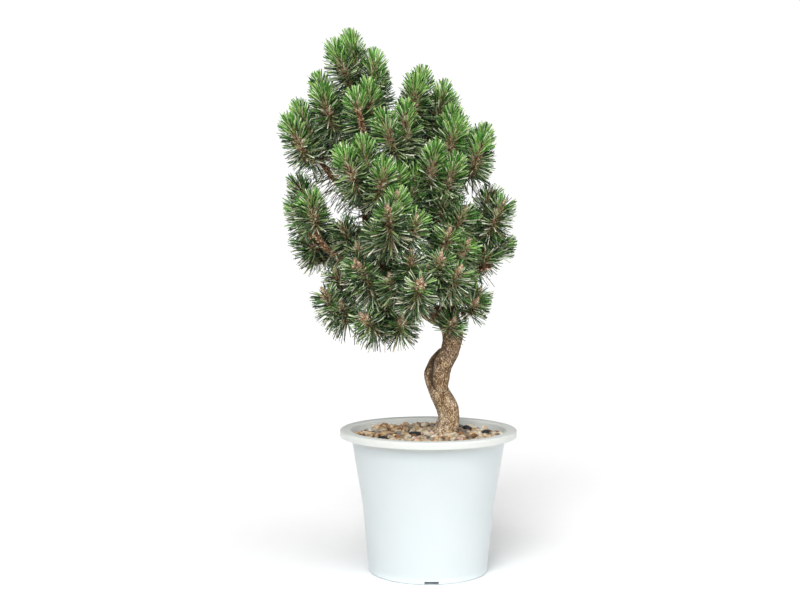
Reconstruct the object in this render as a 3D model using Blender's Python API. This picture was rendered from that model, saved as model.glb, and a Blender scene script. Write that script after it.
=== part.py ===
"""A dwarf mountain pine in a white plastic pot.

Sizes are in millimetres and are turned to metres when a mesh is made. +Z is up, the side that faces
the viewer is -Y, and the origin is the centre of the pot's flat underside.
"""

import math
import random

import bmesh
import bpy
import numpy as np
from mathutils import Matrix, Vector
from mathutils.geometry import delaunay_2d_cdt

MM = 0.001
GAP = 0.3
GOLDEN_TURN = math.radians(137.5)
ROUND_CORNER = 1 - math.sqrt(0.5)

# Pot: a moulded plastic pot with a turned-down rim, two tapers and a low foot ring
POT_HEIGHT = 218
WALL = 2
RIM_RADIUS = 135
RIM_DROP = 10.5
RIM_DRAFT = 0.6
RIM_CORNER = 2.2
MOUTH_RADIUS = 119
SHOULDER_RADIUS = 119.5
WAIST_RADIUS = 100.5
WAIST_HEIGHT = 106
FOOT_RADIUS = 90.5
FOOT_EDGE = 2.5
FOOT_RING = 3
CHANNEL_HEIGHT = 5.5
PAD_RADIUS = 58
POT_SIDES = 40
NOTCH_WIDTH = 21
NOTCH_DEPTH = 8
NOTCH_COUNT = 4
NOTCH_BEARING = math.radians(-88)
DRAIN_HOLE_RADIUS = 6
DRAIN_HOLE_SIDES = 8
DRAIN_HOLE_COUNT = 8
DRAIN_HOLE_CIRCLE = 73

# What fills the pot: potting mix, and gravel whose main pebbles show in its top
SOIL_TOP = 201
GRAVEL_TOP = 212
GRAVEL_SEED = 5
GRAVEL_SIDES = 30
PEBBLE_COUNT = 290
PEBBLE_JITTER = 2
PEBBLE_RISE = 3
PEBBLE_EDGE = 5
PEBBLE_GAP = 4.5

# Trunk: (x, y, z, radius) at its bends. The lower piece turns away behind the upper one and ends
# there as a worn shoulder; the upper piece starts in front of it and runs on as the left leader.
LOWER_TRUNK = (
    (26, 10, SOIL_TOP + GAP, 23),
    (26, 10, 213, 19),
    (32, 10, 232, 16.5),
    (28, 9, 252, 16.5),
    (16, 7, 275, 15.5),
    (9, 9, 297, 15),
    (13, 15, 318, 11.5),
    (22, 14, 338, 5.5),
)
LEADER = (
    (21, 4, 268, 9),
    (17, 0, 290, 14),
    (22, 0, 314, 14.5),
    (33, 1, 338, 14.5),
    (37, -1, 362, 16),
    (29, 2, 384, 16.5),
    (5, 12, 395, 14.5),
    (-36, 25, 423, 11),
    (-58, 21, 470, 10.5),
    (-88, 20, 518, 9.5),
    (-94, 25, 570, 8.5),
    (-105, 26, 632, 7),
    (-110, 12, 672, 5.4),
    (-109, 3, 708, 4.2),
)
RIGHT_LEADER = (
    (37, 0, 368, 11),
    (37, 8, 396, 9.5),
    (29, 28, 446, 8),
    (18, 40, 495, 7.5),
    (3, 41, 570, 6.5),
    (-4, 34, 645, 5),
    (-8, 24, 668, 4),
)
TRUNK_SIDES = 10
TRUNK_STEP = 18
FINE_STEP = 4

# Boughs: the stem each grows from, the height where it leaves, its tip, its sag, and its radius
# at the root and at the tip
BOUGHS = {
    "low_left": (LEADER, 406, (-112, -2, 380), 22, 6.5, 4),
    "small_left": (LEADER, 432, (-104, 8, 426), 8, 4.8, 3.2),
    "mid_left": (LEADER, 484, (-148, 0, 488), 14, 6.2, 4.2),
    "upper_left": (LEADER, 550, (-158, 2, 616), 4, 6, 4),
    "low_front": (LEADER, 436, (-36, -40, 430), 12, 5.5, 3.8),
    "centre_front": (LEADER, 520, (-62, -40, 520), 8, 5.8, 4.2),
    "upper_front": (LEADER, 604, (-100, -14, 596), 4, 4.8, 3.6),
    "front_right": (RIGHT_LEADER, 452, (26, -22, 448), 4, 4.8, 3.4),
    "right_low": (RIGHT_LEADER, 458, (82, 4, 464), 10, 5.6, 3.8),
    "right_mid": (RIGHT_LEADER, 500, (80, 14, 512), 6, 5.2, 3.8),
    "right_top": (RIGHT_LEADER, 590, (58, 12, 604), 4, 5, 3.6),
    "back_low": (LEADER, 420, (-46, 80, 406), 12, 5.2, 3.8),
    "back_left": (LEADER, 500, (-132, 72, 498), 12, 5.4, 3.8),
    "back_right": (RIGHT_LEADER, 478, (62, 92, 476), 10, 5.2, 3.8),
    "back_mid": (RIGHT_LEADER, 556, (-26, 98, 572), 6, 5, 3.8),
    "back_upper": (LEADER, 612, (-128, 80, 634), 4, 4.8, 3.6),
    "back_high": (RIGHT_LEADER, 604, (38, 80, 616), 4, 4.6, 3.4),
}
BOUGH_SIDES = 6
BOUGH_STEP = 26
BOUGH_MIDDLE = 0.55

# Masses of needles: where each stem starts (its bough's tip, or a leader and a height), the top of
# its leading spray, the vigour of its sprays, its number of side sprays and the bearing of the first
MASSES = {
    "crown_tip": ((LEADER, None), (-121, 0, 822), 1.0, 2, 215),
    "crown_right": ((LEADER, 688), (-79, 4, 774), 0.9, 0, 0),
    "crown_left": ((LEADER, 676), (-171, 2, 758), 0.9, 2, -70),
    "crown_front": ((LEADER, 664), (-92, -42, 744), 0.9, 1, -120),
    "crown_back": ((LEADER, 672), (-116, 46, 762), 0.9, 2, 40),
    "upper_left": ("upper_left", (-200, 0, 717), 1.0, 2, 250),
    "upper_front": ("upper_front", (-98, -84, 660), 1.0, 2, 200),
    "mid_left": ("mid_left", (-203, 0, 608), 0.9, 2, 320),
    "small_left": ("small_left", (-148, 4, 476), 0.6, 0, 0),
    "low_left": ("low_left", (-168, -8, 444), 0.6, 1, -30),
    "left_inner": ((LEADER, 508), (-112, -40, 512), 0.8, 1, -100),
    "left_bud": ((LEADER, 522), (-138, -12, 544), 0.6, 1, 90),
    "centre_front": ("centre_front", (-47, -114, 586), 1.0, 3, 250),
    "centre_upper": ((LEADER, 570), (-44, -60, 620), 1.0, 1, 30),
    "front_left": ((LEADER, 468), (-76, -66, 508), 0.9, 1, 200),
    "low_front": ("low_front", (-26, -98, 504), 0.8, 3, 20),
    "low_buds": ((LEADER, 412), (-74, -46, 430), 0.6, 2, 200),
    "front_right": ("front_right", (18, -92, 500), 0.8, 1, 10),
    "right_front": ((RIGHT_LEADER, 520), (34, -62, 536), 0.8, 1, 20),
    "second_tip": ((RIGHT_LEADER, None), (-9, 0, 768), 1.0, 2, 250),
    "second_right": ((RIGHT_LEADER, 650), (25, 4, 746), 0.9, 1, 65),
    "second_left": ((RIGHT_LEADER, 636), (-38, -52, 712), 0.9, 1, 190),
    "second_low": ((RIGHT_LEADER, 618), (40, -20, 708), 0.9, 1, -90),
    "second_front": ((RIGHT_LEADER, 574), (10, -60, 652), 1.0, 2, 10),
    "right_top": ("right_top", (88, 0, 681), 0.9, 1, -100),
    "right_inner": ((RIGHT_LEADER, 540), (28, -46, 588), 0.8, 1, 0),
    "right_mid": ("right_mid", (100, 0, 592), 0.9, 3, -60),
    "right_low": ("right_low", (118, -8, 524), 0.6, 1, 200),
    "low_right": ((RIGHT_LEADER, 402), (86, -4, 444), 0.6, 1, -100),
    "right_nest": ((RIGHT_LEADER, 436), (60, -14, 478), 0.8, 0, 0),
    "fork_shoot": ((LEADER, 372), (44, -46, 400), 0.5, 0, 0),
    "back_low": ("back_low", (-50, 124, 476), 0.9, 4, 60),
    "back_left": ("back_left", (-186, 100, 556), 0.9, 2, 100),
    "back_right": ("back_right", (84, 122, 560), 0.9, 4, 40),
    "back_mid": ("back_mid", (-30, 132, 664), 0.9, 4, 90),
    "back_upper": ("back_upper", (-142, 92, 724), 0.9, 3, 120),
    "back_high": ("back_high", (54, 96, 704), 0.9, 3, 50),
    "back_inner": ((LEADER, 536), (-70, 82, 612), 0.9, 1, 60),
    "back_core": ((RIGHT_LEADER, 520), (44, 78, 606), 0.9, 1, 100),
}

# Sprays: the slim core, the needles that stand out of it and how they fan
SPRAY_LENGTH = 60
SHORTEST_SPRAY = 16
SPRAY_RADIUS = 3.8
SPRAY_SIDES = 5
SPRAY_ROOT = 3
SPRAY_SIDEWAYS = (0.3, 1, 0.2)
NEEDLE = 40
NEEDLE_REACH = 30
NEEDLE_TRIES = (1.0, 0.8, 0.6, 0.45)
NEEDLE_ROOT = 0.7
NEEDLE_PARTS = 4
LOWEST_SPREAD = math.radians(78)
HIGHEST_SPREAD = math.radians(36)
RING_HEIGHT = 19
STAGGER = math.radians(20)

# How the sprays lean: upright in the middle of the crown, outwards at its edge and low down
CROWN_AXIS = (-42, 16)
CROWN_HALF_WIDTH = 170
LOW_CROWN = 480
LOW_CROWN_DEPTH = 120
UPWARDS = np.array((0.0, 0.0, 1.0))
INNER_LEAN = 0.08
EDGE_LEAN = 0.3
LOW_LEAN = 0.6
TWIG_LEAN = 0.3
SIDE_LEAN = 0.15

# Twigs: the leading stem of each mass and the side twigs that fork off it, in turn lower and wider
STEM_RADIUS = 3
STEM_SIDES = 5
STEM_RISE = 0.35
SHORTEST_STEM = 6
TWIG_RADIUS = 2.4
TWIG_SIDES = 3
TWIG_ROOT = 0.5
TWIG_PARTS = 3
TWIG_BEND = 0.45
TAPER = 0.9
SIDE_SPREAD = 33
SIDE_STEP = 5
SIDE_DROP = 20
SIDE_DROP_STEP = 12
SIDE_JITTER = 5
SIDE_VIGOUR = 0.85
HIGHEST_JOINT = 0.8
JOINT_RANGE = 0.55

# The room kept round each rod, and how much wider than the wood or the needle the rod is
CLEARANCE = 0.6
CORE_MARGIN = 0.5
NEEDLE_MARGIN = 0.3


def material(name, colour, roughness):
    """A plain opaque material."""
    made = bpy.data.materials.new(name)
    made.use_nodes = True
    shader = made.node_tree.nodes["Principled BSDF"]
    shader.inputs["Base Color"].default_value = (*colour, 1)
    shader.inputs["Roughness"].default_value = roughness
    return made


def add_object(name, verts, faces, look):
    """An object from points in millimetres, with its faces turned outwards."""
    mesh = bpy.data.meshes.new(name)
    mesh.from_pydata([Vector(v) * MM for v in verts], [], faces)
    shape = bmesh.new()
    shape.from_mesh(mesh)
    bmesh.ops.recalc_face_normals(shape, faces=shape.faces)
    shape.to_mesh(mesh)
    shape.free()
    mesh.materials.append(look)
    made = bpy.data.objects.new(name, mesh)
    bpy.context.scene.collection.objects.link(made)
    return made


def combine(made, others, operation, solver="EXACT"):
    """Join the other objects to this one, or cut them out of it, and remove them."""
    group = bpy.data.collections.new(made.name + "_tools")
    bpy.context.scene.collection.children.link(group)
    for other in others:
        group.objects.link(other)
    boolean = made.modifiers.new(operation.lower(), "BOOLEAN")
    boolean.operation = operation
    boolean.operand_type = "COLLECTION"
    boolean.collection = group
    boolean.solver = solver
    bpy.context.view_layer.update()
    evaluated = made.evaluated_get(bpy.context.evaluated_depsgraph_get())
    joined = bpy.data.meshes.new_from_object(evaluated)
    made.modifiers.clear()
    made.data = joined
    for other in others:
        bpy.data.objects.remove(other)
    bpy.data.collections.remove(group)
    return made


def drop_scraps(made):
    """Keep only the largest connected body of a mesh."""
    shape = bmesh.new()
    shape.from_mesh(made.data)
    unseen = set(shape.verts)
    bodies = []
    while unseen:
        body = [unseen.pop()]
        for vert in body:
            for edge in vert.link_edges:
                other = edge.other_vert(vert)
                if other in unseen:
                    unseen.remove(other)
                    body.append(other)
        bodies.append(body)
    bodies.sort(key=len)
    bmesh.ops.delete(shape, geom=[vert for body in bodies[:-1] for vert in body], context="VERTS")
    shape.to_mesh(made.data)
    shape.free()


def shade_round(made, angle=40):
    """Smooth shading that keeps the sharp edges."""
    made.data.shade_smooth()
    made.data.set_sharp_from_angle(angle=math.radians(angle))


def turned(profile, sides):
    """Points and faces of an outline of (radius, height) turned about the vertical axis.

    The outline starts and ends on the axis, where its radius is 0.
    """
    verts = []
    rings = []
    for radius, height in profile:
        if radius == 0:
            rings.append([len(verts)] * sides)
            verts.append((0, 0, height))
            continue
        rings.append(range(len(verts), len(verts) + sides))
        for side in range(sides):
            angle = 2 * math.pi * side / sides
            verts.append((radius * math.cos(angle), radius * math.sin(angle), height))
    faces = []
    for lower, upper in zip(rings, rings[1:]):
        for side in range(sides):
            after = (side + 1) % sides
            corners = (lower[side], lower[after], upper[after], upper[side])
            faces.append(tuple(dict.fromkeys(corners)))
    return verts, faces


def wall_radius(height, inset=0.0):
    """The pot's outer radius at a height, less an inset."""
    if height < WAIST_HEIGHT:
        share = height / WAIST_HEIGHT
        return FOOT_RADIUS + (WAIST_RADIUS - FOOT_RADIUS) * share - inset
    share = (height - WAIST_HEIGHT) / (POT_HEIGHT - WAIST_HEIGHT)
    return WAIST_RADIUS + (SHOULDER_RADIUS - WAIST_RADIUS) * share - inset


def make_pot(look):
    """The pot: one moulded shell with a turned-down rim and a floor with drain holes."""
    floor = CHANNEL_HEIGHT + WALL
    under_rim = POT_HEIGHT - WALL
    skirt_radius = RIM_RADIUS - RIM_DRAFT
    profile = [
        (0, WALL),
        (PAD_RADIUS - WALL, WALL),
        (PAD_RADIUS, floor),
        (wall_radius(floor, WALL), floor),
        (wall_radius(WAIST_HEIGHT, WALL), WAIST_HEIGHT),
        (wall_radius(under_rim, WALL), under_rim),
        (MOUTH_RADIUS, POT_HEIGHT),
        (RIM_RADIUS - RIM_CORNER, POT_HEIGHT),
        (RIM_RADIUS - RIM_CORNER * ROUND_CORNER, POT_HEIGHT - RIM_CORNER * ROUND_CORNER),
        (RIM_RADIUS, POT_HEIGHT - RIM_CORNER),
        (skirt_radius, POT_HEIGHT - RIM_DROP),
        (skirt_radius - WALL, POT_HEIGHT - RIM_DROP),
        (skirt_radius - WALL + RIM_DRAFT / 2, under_rim),
        (wall_radius(under_rim), under_rim),
        (wall_radius(WAIST_HEIGHT), WAIST_HEIGHT),
        (wall_radius(FOOT_EDGE), FOOT_EDGE),
        (FOOT_RADIUS - FOOT_EDGE * ROUND_CORNER, FOOT_EDGE * ROUND_CORNER),
        (FOOT_RADIUS - FOOT_EDGE, 0),
        (FOOT_RADIUS - FOOT_EDGE - FOOT_RING, 0),
        (FOOT_RADIUS - FOOT_EDGE - FOOT_RING, CHANNEL_HEIGHT),
        (PAD_RADIUS + WALL, CHANNEL_HEIGHT),
        (PAD_RADIUS, 0),
        (0, 0),
    ]
    verts, faces = turned(profile, POT_SIDES)
    pot = add_object("pot", verts, faces, look)
    cutters = []
    for index in range(NOTCH_COUNT):
        bearing = NOTCH_BEARING + 2 * math.pi * index / NOTCH_COUNT
        bm = bmesh.new()
        bmesh.ops.create_cube(bm, size=1)
        size = Vector((2 * NOTCH_DEPTH, NOTCH_WIDTH, 2 * CHANNEL_HEIGHT))
        bmesh.ops.scale(bm, verts=bm.verts, vec=size * MM)
        place = Matrix.Rotation(bearing, 4, "Z") @ Matrix.Translation((FOOT_RADIUS * MM, 0, 0))
        bmesh.ops.transform(bm, verts=bm.verts, matrix=place)
        cutters.append(cutter_from(bm, "notch"))
    for index in range(DRAIN_HOLE_COUNT):
        bearing = 2 * math.pi * (index + 0.5) / DRAIN_HOLE_COUNT
        centre = Matrix.Rotation(bearing, 4, "Z") @ Vector((DRAIN_HOLE_CIRCLE, 0, floor))
        bm = bmesh.new()
        bmesh.ops.create_cone(
            bm,
            cap_ends=True,
            segments=DRAIN_HOLE_SIDES,
            radius1=DRAIN_HOLE_RADIUS * MM,
            radius2=DRAIN_HOLE_RADIUS * MM,
            depth=3 * floor * MM,
        )
        bmesh.ops.translate(bm, verts=bm.verts, vec=centre * MM)
        cutters.append(cutter_from(bm, "drain"))
    combine(pot, cutters, "DIFFERENCE")
    shade_round(pot)


def cutter_from(bm, name):
    """A hidden object from a bmesh, used up by the cut that follows."""
    mesh = bpy.data.meshes.new(name)
    bm.to_mesh(mesh)
    bm.free()
    made = bpy.data.objects.new(name, mesh)
    bpy.context.scene.collection.objects.link(made)
    made.hide_render = True
    made.display_type = "WIRE"
    return made


def make_soil(look):
    """The potting mix: one solid that fills the pot up to the gravel."""
    floor = CHANNEL_HEIGHT + WALL + GAP
    inset = WALL + GAP
    profile = [
        (0, floor),
        (wall_radius(floor, inset), floor),
        (wall_radius(WAIST_HEIGHT, inset), WAIST_HEIGHT),
        (wall_radius(SOIL_TOP, inset), SOIL_TOP),
        (0, SOIL_TOP),
    ]
    verts, faces = turned(profile, POT_SIDES)
    add_object("potting_mix", verts, faces, look)


def pebble_tops():
    """The top of each main pebble, on a spiral from the middle of the gravel outwards."""
    rng = random.Random(GRAVEL_SEED)
    reach = wall_radius(SOIL_TOP, WALL + GAP) - PEBBLE_EDGE
    tops = []
    for index in range(PEBBLE_COUNT):
        radius = reach * math.sqrt((index + 0.5) / PEBBLE_COUNT)
        angle = index * GOLDEN_TURN
        x = radius * math.cos(angle) + rng.uniform(-PEBBLE_JITTER, PEBBLE_JITTER)
        y = radius * math.sin(angle) + rng.uniform(-PEBBLE_JITTER, PEBBLE_JITTER)
        tops.append((x, y, GRAVEL_TOP + rng.uniform(-PEBBLE_RISE, PEBBLE_RISE)))
    return tops


def triangles_over(points):
    """Triangles that join points as seen from above."""
    return delaunay_2d_cdt([Vector(point[:2]) for point in points], [], [], 0, GAP / 10)[2]


def make_gravel(look, trunk_cutter):
    """The gravel: a layer whose top rises to each pebble and dips where three meet, cut clear of the
    trunk's foot.
    """
    bottom = SOIL_TOP + GAP
    outer = wall_radius(bottom, WALL + GAP) * math.cos(math.pi / POT_SIDES)
    bearings = [2 * math.pi * side / GRAVEL_SIDES for side in range(GRAVEL_SIDES)]
    rim = [(outer * math.cos(a), outer * math.sin(a), GRAVEL_TOP - PEBBLE_GAP) for a in bearings]
    tops = rim + pebble_tops()
    verts = list(tops)
    for triangle in triangles_over(tops):
        middle = np.mean([tops[corner] for corner in triangle], axis=0)
        verts.append(tuple(middle - (0, 0, PEBBLE_GAP)))
    faces = [tuple(triangle) for triangle in triangles_over(verts)]
    first = len(verts)
    verts.extend((x, y, bottom) for x, y, _ in rim)
    verts.append((0, 0, bottom))
    for side in range(GRAVEL_SIDES):
        after = (side + 1) % GRAVEL_SIDES
        faces.append((first + side, first + after, after, side))
        faces.append((len(verts) - 1, first + after, first + side))
    gravel = add_object("gravel", verts, faces, look)
    combine(gravel, [trunk_cutter], "DIFFERENCE")


def through(stations, step):
    """Points with radii along a smooth curve through (x, y, z, radius) stations."""
    rows = np.array(stations, dtype=float)
    rows = np.vstack([2 * rows[0] - rows[1], rows, 2 * rows[-1] - rows[-2]])
    path = [rows[1]]
    for before, start, end, after in zip(rows, rows[1:], rows[2:], rows[3:]):
        count = max(1, round(np.linalg.norm((end - start)[:3]) / step))
        for index in range(1, count + 1):
            t = index / count
            bend = 2 * before - 5 * start + 4 * end - after
            turn = 3 * start - before - 3 * end + after
            path.append(0.5 * (2 * start + (end - before) * t + bend * t**2 + turn * t**3))
    return np.array(path)


def tube(path, sides, extra=0.0):
    """Points and faces of a closed round limb along points with radii."""
    centres = [Vector(row[:3]) for row in path]
    verts = []
    across = None
    for index, centre in enumerate(centres):
        along = centres[min(index + 1, len(centres) - 1)] - centres[max(index - 1, 0)]
        along.normalize()
        across = (across or Vector((1, 0, 0))) - along * along.dot(across or Vector((1, 0, 0)))
        across.normalize()
        other = along.cross(across)
        for side in range(sides):
            angle = 2 * math.pi * side / sides
            out = across * math.cos(angle) + other * math.sin(angle)
            verts.append(centre + out * (path[index][3] + extra))
    faces = [tuple(range(sides))[::-1]]
    for ring in range(len(centres) - 1):
        low = ring * sides
        for side in range(sides):
            after = (side + 1) % sides
            faces.append((low + side, low + after, low + sides + after, low + sides + side))
    faces.append(tuple(range(len(verts) - sides, len(verts))))
    return verts, faces


def trunk_pieces(look, extra=0.0):
    """The tubes that make up the trunk and its two leaders, as objects."""
    pieces = []
    limbs = (("trunk", LEADER), ("trunk_foot", LOWER_TRUNK), ("trunk_right", RIGHT_LEADER))
    for name, stations in limbs:
        path = through(stations, TRUNK_STEP)
        pieces.append(add_object(name, *tube(path, TRUNK_SIDES, extra), look))
    return pieces


def make_trunk(look):
    """The trunk, whole from its flat foot to the tips of both leaders."""
    leader, foot, right = trunk_pieces(look)
    combine(leader, [foot, right], "UNION")
    shade_round(leader, 60)


def on_stem(stem, height):
    """The centre and the radius of a leader at a height."""
    path = through(stem, FINE_STEP)
    return path[np.argmin(abs(path[:, 2] - height))]


def bough_path(stem, height, tip, sag, root_radius, tip_radius):
    """A bough's line from inside its stem to its tip, sagging on the way."""
    root = on_stem(stem, height)[:3]
    tip = np.array(tip, dtype=float)
    middle = root + (tip - root) * BOUGH_MIDDLE - (0, 0, sag)
    middle_radius = (root_radius + tip_radius) / 2
    stations = ((*root, root_radius), (*middle, middle_radius), (*tip, tip_radius))
    return through(stations, BOUGH_STEP)


class Room:
    """The space taken so far, as round-ended rods, each with its owner's name."""

    def __init__(self):
        self.starts = np.zeros((0, 3))
        self.ends = np.zeros((0, 3))
        self.radii = np.zeros(0)
        self.owners = np.zeros(0, dtype=object)

    def take(self, rods, owner):
        """Fill the space of (start, end, radius) rods."""
        if not rods:
            return
        self.starts = np.vstack([self.starts, [start for start, _, _ in rods]])
        self.ends = np.vstack([self.ends, [end for _, end, _ in rods]])
        self.radii = np.append(self.radii, [radius for _, _, radius in rods])
        self.owners = np.append(self.owners, np.array([owner] * len(rods), dtype=object))

    def free(self, rods, allowed):
        """Whether rods stay clear of everything but what the allowed owners hold."""
        others = ~np.isin(self.owners, allowed)
        starts = self.starts[others]
        along = self.ends[others] - starts
        radii = self.radii[others]
        length = np.maximum((along * along).sum(1), 1e-9)
        for start, end, radius in rods:
            own = end - start
            apart = start - starts
            own_length = max(own @ own, 1e-9)
            cross = along @ own
            here = apart @ own
            there = (along * apart).sum(1)
            spread = own_length * length - cross * cross
            share = np.clip((cross * there - here * length) / np.maximum(spread, 1e-9), 0, 1)
            other_share = np.clip((cross * share + there) / length, 0, 1)
            share = np.clip((cross * other_share - here) / own_length, 0, 1)
            gap = apart + share[:, None] * own - other_share[:, None] * along
            if (np.sqrt((gap * gap).sum(1)) < radii + radius + CLEARANCE).any():
                return False
        return True


def rods_along(path):
    """The rods that cover a limb given as points with radii."""
    return [
        (np.array(a[:3]), np.array(b[:3]), max(a[3], b[3]))
        for a, b in zip(path, path[1:])
    ]


def unit(vector):
    """The vector at length 1."""
    return vector / np.linalg.norm(vector)


def curve_between(start, heading, end, radius, end_radius):
    """Points with radii on a twig that leaves start along a heading and bends round to end."""
    bend = start + heading * np.linalg.norm(end - start) * TWIG_BEND
    shares = np.linspace(0, 1, TWIG_PARTS + 1)
    radii = np.interp(shares, (0, 1), (radius, end_radius))
    return np.array([
        (*((1 - t) ** 2 * start + 2 * t * (1 - t) * bend + t**2 * end), r)
        for t, r in zip(shares, radii)
    ])


def lean_at(point):
    """Which way a spray points at a place in the crown: up, and outwards near the edge and low down."""
    out = np.array([point[0] - CROWN_AXIS[0], point[1] - CROWN_AXIS[1], 0.0])
    share = np.linalg.norm(out) / CROWN_HALF_WIDTH
    low = min(max((LOW_CROWN - point[2]) / LOW_CROWN_DEPTH, 0), 1)
    return unit(UPWARDS + unit(out) * (INNER_LEAN + EDGE_LEAN * share + LOW_LEAN * low))


def spray_line(start, tip, out, vigour):
    """A spray's foot, direction and length, for a twig from start and needles that end at tip."""
    way = tip - start
    aim = unit(lean_at(tip) + TWIG_LEAN * unit(way) + out)
    room = np.linalg.norm(way) - NEEDLE_REACH - SHORTEST_STEM
    length = max(min(SPRAY_LENGTH * vigour, room), SHORTEST_SPRAY)
    foot = tip - aim * (length + NEEDLE_REACH)
    return foot, aim, length


def stem_start(place, tip):
    """What carries a mass, and where, which way and how thick its stem starts."""
    if isinstance(place, str):
        carrier = "bough_" + place + "_tip"
        path = bough_path(*BOUGHS[place])
    else:
        carrier = "trunk"
        stem, height = place
        if height is not None:
            centre = on_stem(stem, height)[:3]
            return carrier, centre, unit((tip - centre) * (1, 1, STEM_RISE)), STEM_RADIUS
        path = through(stem, FINE_STEP)
    heading = unit(path[-1][:3] - path[-2][:3])
    return carrier, path[-1][:3] + heading * GAP, heading, path[-1][3] * TAPER


def grow(name):
    """A mass's twigs and sprays: its leading stem first, then its side twigs."""
    place, tip, vigour, side_count, bearing = MASSES[name]
    rng = random.Random(name)
    tip = np.array(tip, dtype=float)
    carrier, start, heading, radius = stem_start(place, tip)
    foot, aim, length = spray_line(start, tip, np.zeros(3), vigour)
    stem_path = curve_between(start, heading, foot, radius, TWIG_RADIUS)
    shoots = [(stem_path, foot, aim, length, rng.uniform(0, math.tau))]
    for index in range(side_count):
        angle = math.radians(bearing) + index * GOLDEN_TURN
        out = np.array([math.cos(angle), math.sin(angle), 0])
        spread = SIDE_SPREAD + SIDE_STEP * index
        drop = SIDE_DROP + SIDE_DROP_STEP * index
        jitter = np.array([rng.uniform(-SIDE_JITTER, SIDE_JITTER) for _ in range(3)])
        side_tip = tip + out * spread - (0, 0, drop) + jitter
        share = HIGHEST_JOINT - JOINT_RANGE * index / side_count
        joint = stem_path[max(1, round(share * TWIG_PARTS))][:3]
        side_vigour = vigour * SIDE_VIGOUR
        foot, aim, length = spray_line(joint, side_tip, out * SIDE_LEAN, side_vigour)
        twig = curve_between(joint, unit(out + aim), foot, TWIG_RADIUS, TWIG_RADIUS * TAPER)
        shoots.append((twig, foot, aim, length, rng.uniform(0, math.tau)))
    return carrier, shoots


class Spray:
    """One spray: a slim core from foot to end, with a needle on each side of each ring."""

    def __init__(self, foot, aim, length, turn):
        self.foot = foot - aim * SPRAY_ROOT
        self.aim = aim
        self.length = length + SPRAY_ROOT
        self.rings = max(2, round(length / RING_HEIGHT))
        side = unit(np.cross(aim, SPRAY_SIDEWAYS))
        self.across = side * math.cos(turn) + np.cross(aim, side) * math.sin(turn)
        self.other = np.cross(aim, self.across)
        self.needles = {}

    def out(self, angle):
        """The direction square to the core at an angle round it."""
        return self.across * math.cos(angle) + self.other * math.sin(angle)

    def core_rods(self):
        """The rod that covers the core."""
        return [(self.foot, self.foot + self.aim * self.length, SPRAY_RADIUS + CORE_MARGIN)]

    def needle_line(self, ring, side, share):
        """The root and the tip of one needle."""
        if ring == self.rings:
            end = self.foot + self.aim * self.length
            return end, end + self.aim * NEEDLE_REACH * share
        height = (ring + 0.5) / self.rings
        spread = LOWEST_SPREAD + (HIGHEST_SPREAD - LOWEST_SPREAD) * height
        angle = 2 * math.pi * (side + 0.5) / SPRAY_SIDES
        stagger = STAGGER if ring % 2 else -STAGGER
        middle = self.foot + self.aim * self.length * height
        root = middle + self.out(angle) * SPRAY_RADIUS * NEEDLE_ROOT
        way = self.aim * math.cos(spread) + self.out(angle + stagger) * math.sin(spread)
        return root, root + way * NEEDLE * share

    def needle_rods(self, ring, side, share):
        """The rods that cover one needle, thinner towards its tip."""
        root, tip = self.needle_line(ring, side, share)
        half_face = math.hypot(self.length / self.rings / 2, SPRAY_RADIUS * NEEDLE_ROOT)
        widest = (SPRAY_RADIUS if ring == self.rings else half_face) + NEEDLE_MARGIN
        step = (tip - root) / NEEDLE_PARTS
        return [
            (root + step * part, root + step * (part + 1), widest * (1 - part / NEEDLE_PARTS))
            for part in range(NEEDLE_PARTS)
        ]

    def add_needle(self, room, ring, side, allowed):
        """Add one needle at the longest of its tries that finds room."""
        for share in NEEDLE_TRIES:
            rods = self.needle_rods(ring, side, share)
            if room.free(rods, allowed):
                room.take(rods, allowed[-1])
                self.needles[ring, side] = self.needle_line(ring, side, share)[1]
                return

    def mesh(self):
        """Points and faces of the core with its needles drawn out of its faces."""
        verts = []
        for ring in range(self.rings + 1):
            centre = self.foot + self.aim * self.length * ring / self.rings
            for side in range(SPRAY_SIDES):
                angle = 2 * math.pi * side / SPRAY_SIDES
                verts.append(centre + self.out(angle) * SPRAY_RADIUS)
        faces = [tuple(range(SPRAY_SIDES))[::-1]]
        quads = {}
        for ring in range(self.rings):
            low = ring * SPRAY_SIDES
            for side in range(SPRAY_SIDES):
                after = (side + 1) % SPRAY_SIDES
                high = low + SPRAY_SIDES
                quads[ring, side] = (low + side, low + after, high + after, high + side)
        quads[self.rings, 0] = tuple(range(len(verts) - SPRAY_SIDES, len(verts)))
        for key, quad in quads.items():
            if key not in self.needles:
                faces.append(quad)
                continue
            tip = len(verts)
            verts.append(self.needles[key])
            for corner, following in zip(quad, quad[1:] + quad[:1]):
                faces.append((corner, following, tip))
        return verts, faces


def linked_copy(cutter):
    """Another object with a cutter's mesh, for one more cut."""
    copy = cutter.copy()
    bpy.context.scene.collection.objects.link(copy)
    return copy


def carrier_cutter(name, look, trunk_cutter):
    """The limb that carries a mass, a little swollen, as a cutter that leaves the gap round it."""
    place = MASSES[name][0]
    if isinstance(place, str):
        path = bough_path(*BOUGHS[place])
        path[-1, :3] += unit(path[-1, :3] - path[-2, :3]) * GAP
        return add_object("bough_clearance", *tube(path, BOUGH_SIDES, GAP), look)
    return linked_copy(trunk_cutter)


def fit_twigs(room):
    """Each mass's twigs that find room, with their sprays; the leading stem is always kept."""
    fitted = {}
    for name in MASSES:
        carrier, shoots = grow(name)
        fitted[name] = []
        for index, (twig, *spray) in enumerate(shoots):
            rods = rods_along(twig)
            clear = room.free(rods[:1], [name, carrier]) and room.free(rods[1:], [name])
            if index == 0 or clear:
                fitted[name].append((twig, Spray(*spray)))
                room.take(rods, name)
    return fitted


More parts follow.
